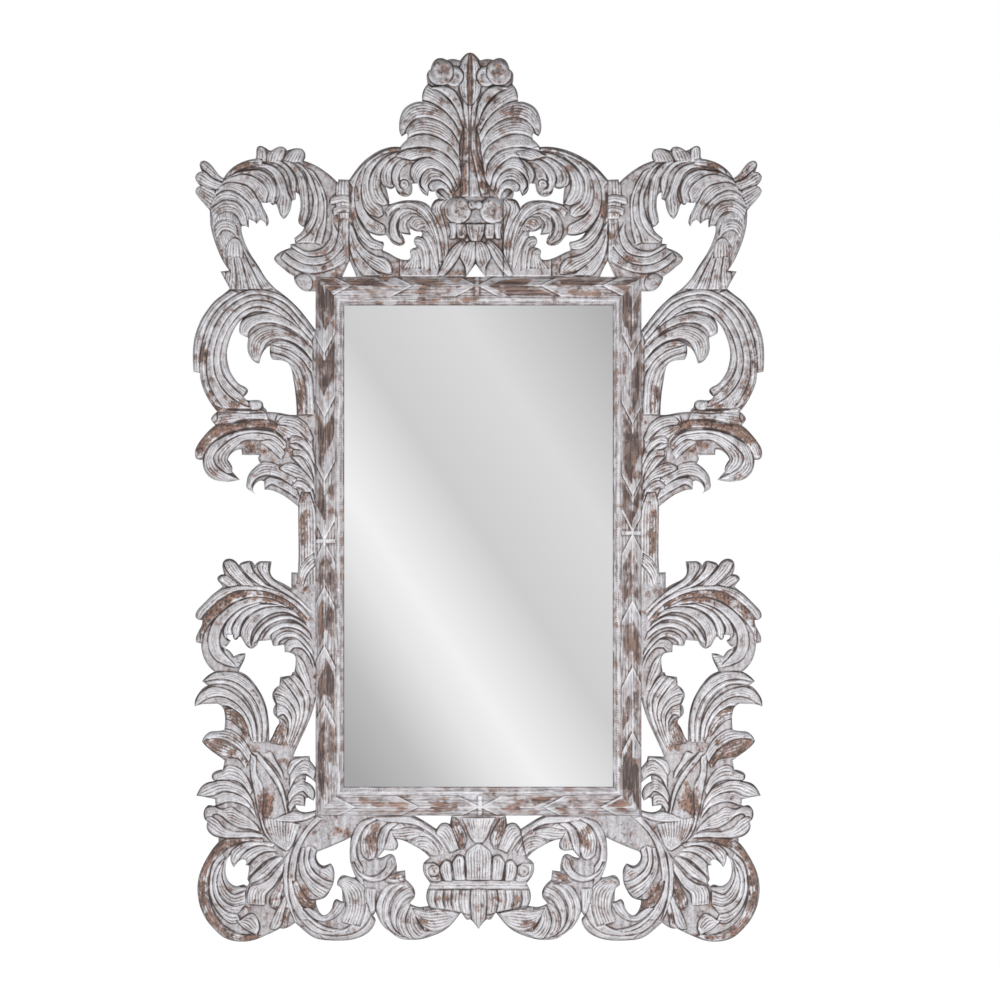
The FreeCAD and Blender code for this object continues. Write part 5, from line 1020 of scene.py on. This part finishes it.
def buildMesh(name, points, faces, materials, slots, traits, sharpPairs):
    mesh = bpy.data.meshes.new(name)
    mesh.from_pydata([tuple(point) for point in points], [], faces)
    for material in materials:
        mesh.materials.append(material)
    mesh.polygons.foreach_set("material_index", slots)
    mesh.polygons.foreach_set("use_smooth", [True] * len(faces))
    for trait, values in traits.items():
        layer = mesh.attributes.new(trait, "FLOAT", "POINT")
        layer.data.foreach_set("value", np.asarray(values, np.float32))
    pairs = np.zeros(len(mesh.edges) * 2, int)
    mesh.edges.foreach_get("vertices", pairs)
    pairs = np.sort(pairs.reshape(-1, 2), axis=1)
    size = len(points)
    sharp = np.sort(np.asarray(sharpPairs), axis=1)
    marked = np.isin(pairs[:, 0] * size + pairs[:, 1], sharp[:, 0] * size + sharp[:, 1])
    layer = mesh.attributes.new("sharp_edge", "BOOLEAN", "EDGE")
    layer.data.foreach_set("value", marked)
    mesh.update()
    mesh.validate()
    piece = bpy.data.objects.new(name, mesh)
    bpy.context.scene.collection.objects.link(piece)
    return piece


def standFor(piece, node):
    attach(piece, "frame")
    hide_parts(node)


plankLoops = {}
for kind in planks:
    node = kind + "_left" if kind + "_left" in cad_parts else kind
    plankLoops[kind] = [evenly(loop, plankMesh["step"]) for loop in backLoops(node)]


def carvePlank(kind):
    loops = plankLoops[kind]
    ring = np.vstack(loops)
    others = np.vstack([loop for other in plankLoops if other != kind for loop in plankLoops[other]])
    nearOther = distancesTo(treeOf(others), ring) < plankMesh["touching"]
    across, up = np.abs(ring[:, 0]) * millimetre, ring[:, 1] * millimetre
    near, past = plankMesh["onFrame"] * millimetre, plankMesh["pastCorner"] * millimetre
    onStile = (np.abs(across - halfFrame) < near) & (up < frameTop + past) & (up > frameBottom - past)
    onRail = (np.abs(up - frameTop) < near) | (np.abs(up - frameBottom) < near)
    onRail &= across < halfFrame + past
    free = ~(nearOther | onStile | onRail)
    ringTree = treeOf(ring)
    corners, faces, place = triangulated(loops, ring, gridInside(loops, ringTree, plankMesh["step"]))
    pixels = foldedLeft(toPixels(corners * millimetre))
    heights = readMap(heightMap, pixels)
    reach = plankMesh["edgeRound"]
    fromFree, fromSeam = distancesTo(treeOf(ring[free]), corners), distancesTo(ringTree, corners)
    heights -= plankMesh["edgeDrop"] * np.clip(1 - fromFree / reach, 0, 1) ** plankMesh["edgePower"]
    atSeam = fromFree > plankMesh["clearOfEdge"]
    heights -= plankMesh["seamGroove"] * np.clip(1 - fromSeam / plankMesh["seamReach"], 0, 1) * atSeam
    hollow, ridge = readMap(hollowMap, pixels), readMap(ridgeMap, pixels)
    bare, streak = readMap(bareMap, pixels), readMap(streakMap, pixels)
    hollow = np.clip(hollow + plankMesh["seamHollow"] * np.clip(1 - fromSeam, 0, 1) * atSeam, 0, 1)
    backGrid = gridInside(loops, ringTree, plankMesh["backStep"])
    backCorners, backFaces, backPlace = triangulated(loops, ring, backGrid)
    border = borderOf(faces)
    nameOf = {number: name for name, number in place.items() if name < len(ring)}
    total = len(corners)
    walls = [(b, a, total + backPlace[nameOf[a]], total + backPlace[nameOf[b]]) for a, b in border]
    backBorder = borderOf(backFaces) + total
    allFaces = [tuple(face) for face in faces] + walls + [tuple(face[::-1] + total) for face in backFaces]
    slots = [0] * (len(faces) + len(walls)) + [1] * len(backFaces)
    fronts = {"hollow": (hollow, plankMesh["backHollow"]), "ridge": (ridge, 0.0),
              "bare": (bare, plankMesh["backBare"]), "streak": (streak, 0.0)}
    traits = {trait: np.concatenate([values, np.full(len(backCorners), behind)])
              for trait, (values, behind) in fronts.items()}
    plan = np.vstack([corners, backCorners]) * millimetre
    depth = np.concatenate([-heights * millimetre, np.zeros(len(backCorners))])
    sharp = np.vstack([border, backBorder])
    sides = [("", plan, False)]
    if kind + "_left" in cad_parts:
        sides = [("_left", plan, False), ("_right", toMetres(mirrored(toPixels(plan))), True)]
    for side, sidePlan, turned in sides:
        points = np.column_stack([sidePlan[:, 0], depth, sidePlan[:, 1]])
        turnedFaces = [face[::-1] for face in allFaces] if turned else allFaces
        piece = buildMesh("carved_" + kind + side, points, turnedFaces, [limedCarving, sawnPlank],
                          slots, traits, sharp)
        standFor(piece, kind + side)
    print("carved", kind, len(allFaces), "faces")


for kind in planks:
    carvePlank(kind)

# The mitred frame: a ridged moulding cut into a chain of husks whose points meet at the middle bands.
moulding = {
    "profile": [(0, 25.5), (1.5, 27.4), (8, 32.6), (13, 36.2), (16, 37.6), (18, 37.0), (24, 34.6), (31, 31.8),
                (35.5, 30.2), (36.6, 28.9), (37.6, 29.8), (42.2, 29.9), (43.4, 28.6), (46, 26.8),
                (49, 26.0), (51, 25.9)],
    "fineStep": 0.8, "alongStep": 1.4,
    "slopeEnd": 36, "ridgeInset": 16,
    "huskLift": 2.4, "huskSlant": 2.0, "huskPower": 1.6, "huskMiddle": 0.55,
    "bandLift": 0.8, "bandHalf": 3.6,
    "veinDepth": 0.35, "veinPitch": 5.2,
    "rubFade": 0.06,
    "beadAt": 44.2, "beadHalf": 1.1, "beadPitch": 4.6, "beadHeight": 0.45,
    "unevenness": 0.28, "highest": 37.9,
    "shadowLineFrom": 49.0, "outerHollow": 1.4,
    "backHollow": 0.1, "backBare": 0.3,
    "seat": 20, "glassRebate": 12, "boardRebate": 24, "boardStep": 6,
    # Rows of the husks' points on each stile and columns on each rail: those before the band, the
    # band and those after.
    "stile_left": ([354, 418, 482], [541], [586, 645, 703]),
    "stile_right": ([355, 424, 496], [533], [600, 666, 731]),
    "rail_top": ([352, 413], [477], [540, 602]),
    "rail_bottom": ([356, 419], [480], [543, 600]),
}


def rubbedPart(share, inset):
    side = inset > moulding["ridgeInset"]
    amounts = randomHands.uniform(0.35, 1.2, 2)
    starts, stops = randomHands.uniform(0.05, 0.3, 2), randomHands.uniform(0.6, 0.95, 2)
    amount = np.where(side, amounts[0], amounts[1])
    start, stop = np.where(side, starts[0], starts[1]), np.where(side, stops[0], stops[1])
    fade = moulding["rubFade"]
    return amount * np.clip((share - start) / fade, 0, 1) * np.clip((stop - share) / fade, 0, 1)


def huskRelief(along, inset, length, marks):
    # Each husk rises towards its point and drops at its edge; a band stands at the middle.
    # The paint is rubbed off between one point and the next, more on some than on others.
    before, bands, after = marks
    slant = moulding["huskSlant"] * np.abs(inset - moulding["ridgeInset"])
    middle = sum(bands) / len(bands)
    lift, rubbed = np.zeros_like(along), np.zeros_like(along)
    reach = np.clip((inset - 3) / 3, 0, 1) * np.clip((moulding["slopeEnd"] - 1 - inset) / 3, 0, 1)
    corner = moulding["ridgeInset"]
    halves = ((corner, before, along + slant, along < middle),
              (length - corner, after[::-1], along - slant, along > middle))
    for end, marked, place, inHalf in halves:
        for start, finish in zip([end] + marked, marked + [middle]):
            share = (place - start) / (finish - start)
            inHusk = (share >= 0) & (share < 1) & inHalf
            lift = np.where(inHusk, np.abs(share) ** moulding["huskPower"], lift)
            rubbed = np.where(inHusk, rubbedPart(share, inset) * reach, rubbed)
    for band in bands:
        hump = np.exp(-((along - band) / moulding["bandHalf"]) ** 6)
        lift = np.maximum(lift, moulding["bandLift"] * hump)
    fade = np.clip((moulding["slopeEnd"] - inset) / 2, 0, 1) * np.clip(inset / 2, 0, 1)
    veins = moulding["veinDepth"] * np.cos(2 * math.pi * inset / moulding["veinPitch"]) * (1 - lift)
    return (moulding["huskLift"] * (lift - moulding["huskMiddle"]) + veins) * fade, rubbed


def carveMoulding(node, start, finish, inward, material, deepness, bareness):
    start, finish, inward = Vector(start), Vector(finish), Vector(inward)
    length = (finish - start).length / millimetre
    direction = (finish - start).normalized()
    knownInset, knownHeight = zip(*moulding["profile"])
    insets = np.arange(0, knownInset[-1] + 0.01, moulding["fineStep"])
    insets[-1] = knownInset[-1]
    stations = int(length / moulding["alongStep"])
    share = np.linspace(0, 1, stations)[:, None]
    along = insets[None, :] + share * (length - 2 * insets[None, :])
    inset = np.broadcast_to(insets[None, :], along.shape)
    heights = np.interp(inset, knownInset, knownHeight)
    vertical = abs(direction.z) > 0.5
    groups = []
    for group in moulding[node]:
        marks = [(axis, mark) if vertical else (mark, picture["middle"]) for mark in group]
        places = toMetres(np.array(marks))
        fromCorner = frameTop - places[:, 1] if vertical else places[:, 0] + halfFrame
        groups.append(list(fromCorner / millimetre))
    relief, rubbed = huskRelief(along, inset, length, groups)
    heights = heights + relief
    beads = np.exp(-((inset - moulding["beadAt"]) / moulding["beadHalf"]) ** 2)
    heights = heights + moulding["beadHeight"] * beads * np.cos(2 * math.pi * along / moulding["beadPitch"])
    shake = smoothed(randomHands.normal(size=heights.shape), 12)
    heights = heights + moulding["unevenness"] * shake / shake.std()
    heights = np.clip(heights, 0, moulding["highest"])
    # Hollows in the moulding get dark stain and painted shade. The strip by the glass gets a painted shadow
    # line, and the outer edge gets a dark line as well.
    hollow = np.clip((smoothed(heights, 8) - heights) / 0.8, 0, 1)
    hollow = np.maximum(hollow, np.clip((inset - moulding["shadowLineFrom"]) / 1.2, 0, 1))
    hollow = np.maximum(hollow, 0.9 * np.clip(1 - inset / moulding["outerHollow"], 0, 1))
    ridge = np.clip((heights - smoothed(heights, 10)) / 0.7, 0, 1)
    long = smoothed(randomHands.normal(size=(heights.shape[0], 8)), 30)
    long = np.repeat(long, math.ceil(heights.shape[1] / 8), axis=1)[:, :heights.shape[1]]
    bare = np.clip(0.05 + 0.10 * smoothed(long, 4) / long.std() + bareness * rubbed, 0, 1)
    small = randomHands.normal(size=(heights.shape[0] // 14, heights.shape[1] // 2))
    streak = grown(small, share + 0 * insets[None, :], insets[None, :] / insets[-1] + 0 * share)
    hollow = np.maximum(hollow, np.clip(deepness * rubbed * (0.45 + 0.9 * streak), 0, 1))
    sight = knownInset[-1]
    glassEdge, boardEdge = sight - moulding["glassRebate"], sight - moulding["boardRebate"]
    foot = [(sight, moulding["seat"]), (glassEdge, moulding["seat"]), (glassEdge, moulding["boardStep"]),
            (boardEdge, moulding["boardStep"]), (boardEdge, 0), (0, 0)]
    footInset = np.array([point[0] for point in foot], float)[None, :]
    footHeights = np.array([point[1] for point in foot], float)[None, :]
    footAlong = footInset + share * (length - 2 * footInset)
    inset = np.hstack([inset, np.broadcast_to(footInset, footAlong.shape)])
    along = np.hstack([along, footAlong])
    heights = np.hstack([heights, np.broadcast_to(footHeights, footAlong.shape)])
    rows, columns = heights.shape
    points = (np.array(start)[None, None, :] + along[..., None] * np.array(direction) * millimetre
              + inset[..., None] * np.array(inward) * millimetre
              + heights[..., None] * np.array([0, -1, 0]) * millimetre).reshape(-1, 3)
    number = np.arange(rows * columns).reshape(rows, columns)
    onward = np.roll(number, -1, axis=1)
    quads = np.stack([number[:-1], onward[:-1], onward[1:], number[1:]], -1).reshape(-1, 4)
    outward = direction.cross(inward).y < 0
    faces = [tuple(quad) for quad in quads] + [tuple(number[0][::-1]), tuple(number[-1])]
    if outward:
        faces = [face[::-1] for face in faces]
    backs = len(foot)
    slots = np.zeros((rows - 1, columns), int)
    slots[:, columns - backs:columns - 1] = 1
    slots = list(slots.reshape(-1)) + [1, 1]
    fronts = {"hollow": (hollow, moulding["backHollow"]), "ridge": (ridge, 0.0),
              "bare": (bare, moulding["backBare"]), "streak": (streak, 0.0)}
    traits = {trait: np.pad(values, ((0, 0), (0, backs)), constant_values=behind).ravel()
              for trait, (values, behind) in fronts.items()}
    lines = [number[:, column] for column in [0] + list(range(columns - backs - 1, columns))]
    sharp = [np.column_stack([line[:-1], line[1:]]) for line in lines]
    sharp += [np.column_stack([end, np.roll(end, -1)]) for end in (number[0], number[-1])]
    piece = buildMesh("husked_" + node, points, faces, [material, sawnPlank], slots, traits, np.vstack(sharp))
    standFor(piece, node)
    print("moulded", node, len(faces), "faces")


topLeft, topRight = (-halfFrame, 0, frameTop), (halfFrame, 0, frameTop)
bottomLeft, bottomRight = (-halfFrame, 0, frameBottom), (halfFrame, 0, frameBottom)
# Each member's ends, its way towards the glass, its finish, and how stained and how bare it is rubbed.
members = {
    "stile_left": (topLeft, bottomLeft, (1, 0, 0), limedStile, 1.25, 1.1),
    "stile_right": (topRight, bottomRight, (-1, 0, 0), limedStile, 1.25, 1.1),
    "rail_top": (topLeft, topRight, (0, 0, -1), limedRail, 0.4, 0.95),
    "rail_bottom": (bottomLeft, bottomRight, (0, 0, 1), limedLowRail, 0.15, 0.65),
}
for node, member in members.items():
    carveMoulding(node, *member)

# Finishes of the CAD pieces that show as they are.
finishes = {"mirror_glass": mirrorSilver, "backing_board": hardboard}
for name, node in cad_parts.items():
    if name in finishes:
        finish = finishes[name]
    elif "screws" in name or name.startswith(("hanger", "hanging")):
        finish = zinc
    elif name.startswith("wall_bumper"):
        finish = blackRubber
    elif name.startswith(("dowels", "glazing")) or "batten" in name:
        finish = sawnBatten
    else:
        continue
    for slot in node.material_slots:
        slot.material = finish

# Stage: white backdrop and floor, and the soft card that the mirror shows.
studio = {
    "distance": 9.0, "sensor": 36, "frameWidth": 1000,
    "cameraGap": 0.03,
    "fill": 0.25, "whiteInMirror": 0.7,
    "floorDrop": 0.12, "floorFront": -2.5, "floorReach": 30, "floorTone": 0.86, "floorGlow": 1.1,
    "floorWhiteness": 0.9,
    "cardAway": 15.0, "cardSize": 9.0,
    "bandSlope": 0.667, "bandFrom": -1.6, "bandTo": 1.4,
    "bandEnds": ((0.04, 0.41), (0.93, 0.48)),
    "bands": ((0.15, 0.56), (0.26, 0.84), (0.33, 0.95), (0.40, 0.84), (0.50, 0.66), (0.70, 0.76),
              (0.83, 0.60)),
}
lamps = {
    "key": {"place": (-1.7, -3.0, 0.7), "aim": (0, 0, 0), "size": (1.4, 1.2), "power": 37},
    "low": {"place": (0.5, -2.3, -0.45), "aim": (0, 0, -0.6), "size": (1.8, 0.5), "power": 57},
}
cameraSpot = toMetres(np.array([[picture["middle"], picture["middle"]]]))[0]
widthShown = studio["frameWidth"] * pixelSize
camera = bpy.data.objects.new("camera", bpy.data.cameras.new("camera"))
camera.data.sensor_width = studio["sensor"]
camera.data.lens = studio["sensor"] * studio["distance"] / widthShown
camera.location = (cameraSpot[0], -studio["distance"] - studio["cameraGap"], cameraSpot[1])
camera.rotation_euler = (math.pi / 2, 0, 0)
bpy.context.scene.collection.objects.link(camera)
bpy.context.scene.camera = camera


def addLamp(name, place, aim, size, power):
    lamp = bpy.data.lights.new(name, "AREA")
    lamp.shape = "RECTANGLE"
    lamp.size, lamp.size_y = size
    lamp.energy = power
    holder = bpy.data.objects.new(name, lamp)
    holder.location = place
    holder.rotation_euler = (Vector(aim) - Vector(place)).to_track_quat("-Z", "Y").to_euler()
    holder.visible_glossy = False
    bpy.context.scene.collection.objects.link(holder)


for name, lamp in lamps.items():
    addLamp(name, **lamp)

world = bpy.data.worlds.new("studio")
bpy.context.scene.world = world
tree = clearedTree(world)
rays = tree.nodes.new("ShaderNodeLightPath")
seen = mathNode(tree, "MAXIMUM", rays.outputs["Is Camera Ray"], rays.outputs["Is Transmission Ray"])
inMirror = mathNode(tree, "MULTIPLY", rays.outputs["Is Glossy Ray"], studio["whiteInMirror"])
seen = mathNode(tree, "MAXIMUM", seen, inMirror)
level = ramp(tree, seen, 0, 1, studio["fill"], 1)
level.node.interpolation_type = "LINEAR"
background = addNode(tree, "ShaderNodeBackground", Color=(1, 1, 1, 1), Strength=level)
addNode(tree, "ShaderNodeOutputWorld", Surface=background.outputs[0])


def stagePanel(name, corners, material):
    mesh = bpy.data.meshes.new(name)
    mesh.from_pydata(corners, [], [(0, 1, 2, 3)])
    mesh.materials.append(material)
    panel = bpy.data.objects.new(name, mesh)
    bpy.context.scene.collection.objects.link(panel)


paleFloor = bpy.data.materials.new("pale floor")
tree = clearedTree(paleFloor)
rays = tree.nodes.new("ShaderNodeLightPath")
tone = studio["floorTone"]
matte = addNode(tree, "ShaderNodeBsdfDiffuse", Color=(tone, tone, tone, 1))
glow = addNode(tree, "ShaderNodeEmission", Color=(1, 1, 1, 1), Strength=studio["floorGlow"])
seen = mathNode(tree, "MAXIMUM", rays.outputs["Is Camera Ray"], rays.outputs["Is Glossy Ray"])
seen = mathNode(tree, "MAXIMUM", seen, rays.outputs["Is Transmission Ray"])
share = mathNode(tree, "MULTIPLY", seen, studio["floorWhiteness"])
floorMix = addNode(tree, "ShaderNodeMixShader", i0=share, i1=matte.outputs[0], i2=glow.outputs[0])
addNode(tree, "ShaderNodeOutputMaterial", Surface=floorMix.outputs[0])
level, front, reach = cadLow.z - studio["floorDrop"], studio["floorFront"], studio["floorReach"]
stagePanel("floor", [(-reach, front, level), (reach, front, level), (reach, reach, level),
                     (-reach, reach, level)], paleFloor)

# The card behind the camera: grey with a bright band and a fainter one, both running down to the right.
softCard = bpy.data.materials.new("soft card")
tree = clearedTree(softCard)
rays = tree.nodes.new("ShaderNodeLightPath")
spot = addNode(tree, "ShaderNodeSeparateXYZ", Vector=tree.nodes.new("ShaderNodeTexCoord").outputs["Object"])
slope = fromMiddle(tree, spot.outputs["Z"], 0, studio["bandSlope"], spot.outputs["X"])
place = ramp(tree, slope, studio["bandFrom"], studio["bandTo"])
place.node.interpolation_type = "LINEAR"
bandLevel = addNode(tree, "ShaderNodeValToRGB", Fac=place)
stops = bandLevel.color_ramp.elements
for stop, (position, level) in zip(stops, studio["bandEnds"]):
    stop.position, stop.color = position, (level, level, level, 1)
for position, level in studio["bands"]:
    stops.new(position).color = (level, level, level, 1)
glow = addNode(tree, "ShaderNodeEmission", Color=bandLevel.outputs[0])
clear = tree.nodes.new("ShaderNodeBsdfTransparent")
cardMix = addNode(tree, "ShaderNodeMixShader", i0=rays.outputs["Is Glossy Ray"], i1=clear.outputs[0],
                  i2=glow.outputs[0])
addNode(tree, "ShaderNodeOutputMaterial", Surface=cardMix.outputs[0])
away, reach = -studio["cardAway"], studio["cardSize"]
stagePanel("card", [(-reach, away, -reach), (reach, away, -reach), (reach, away, reach),
                    (-reach, away, reach)], softCard)
bpy.context.scene.view_settings.view_transform = "Standard"
print("stage set")
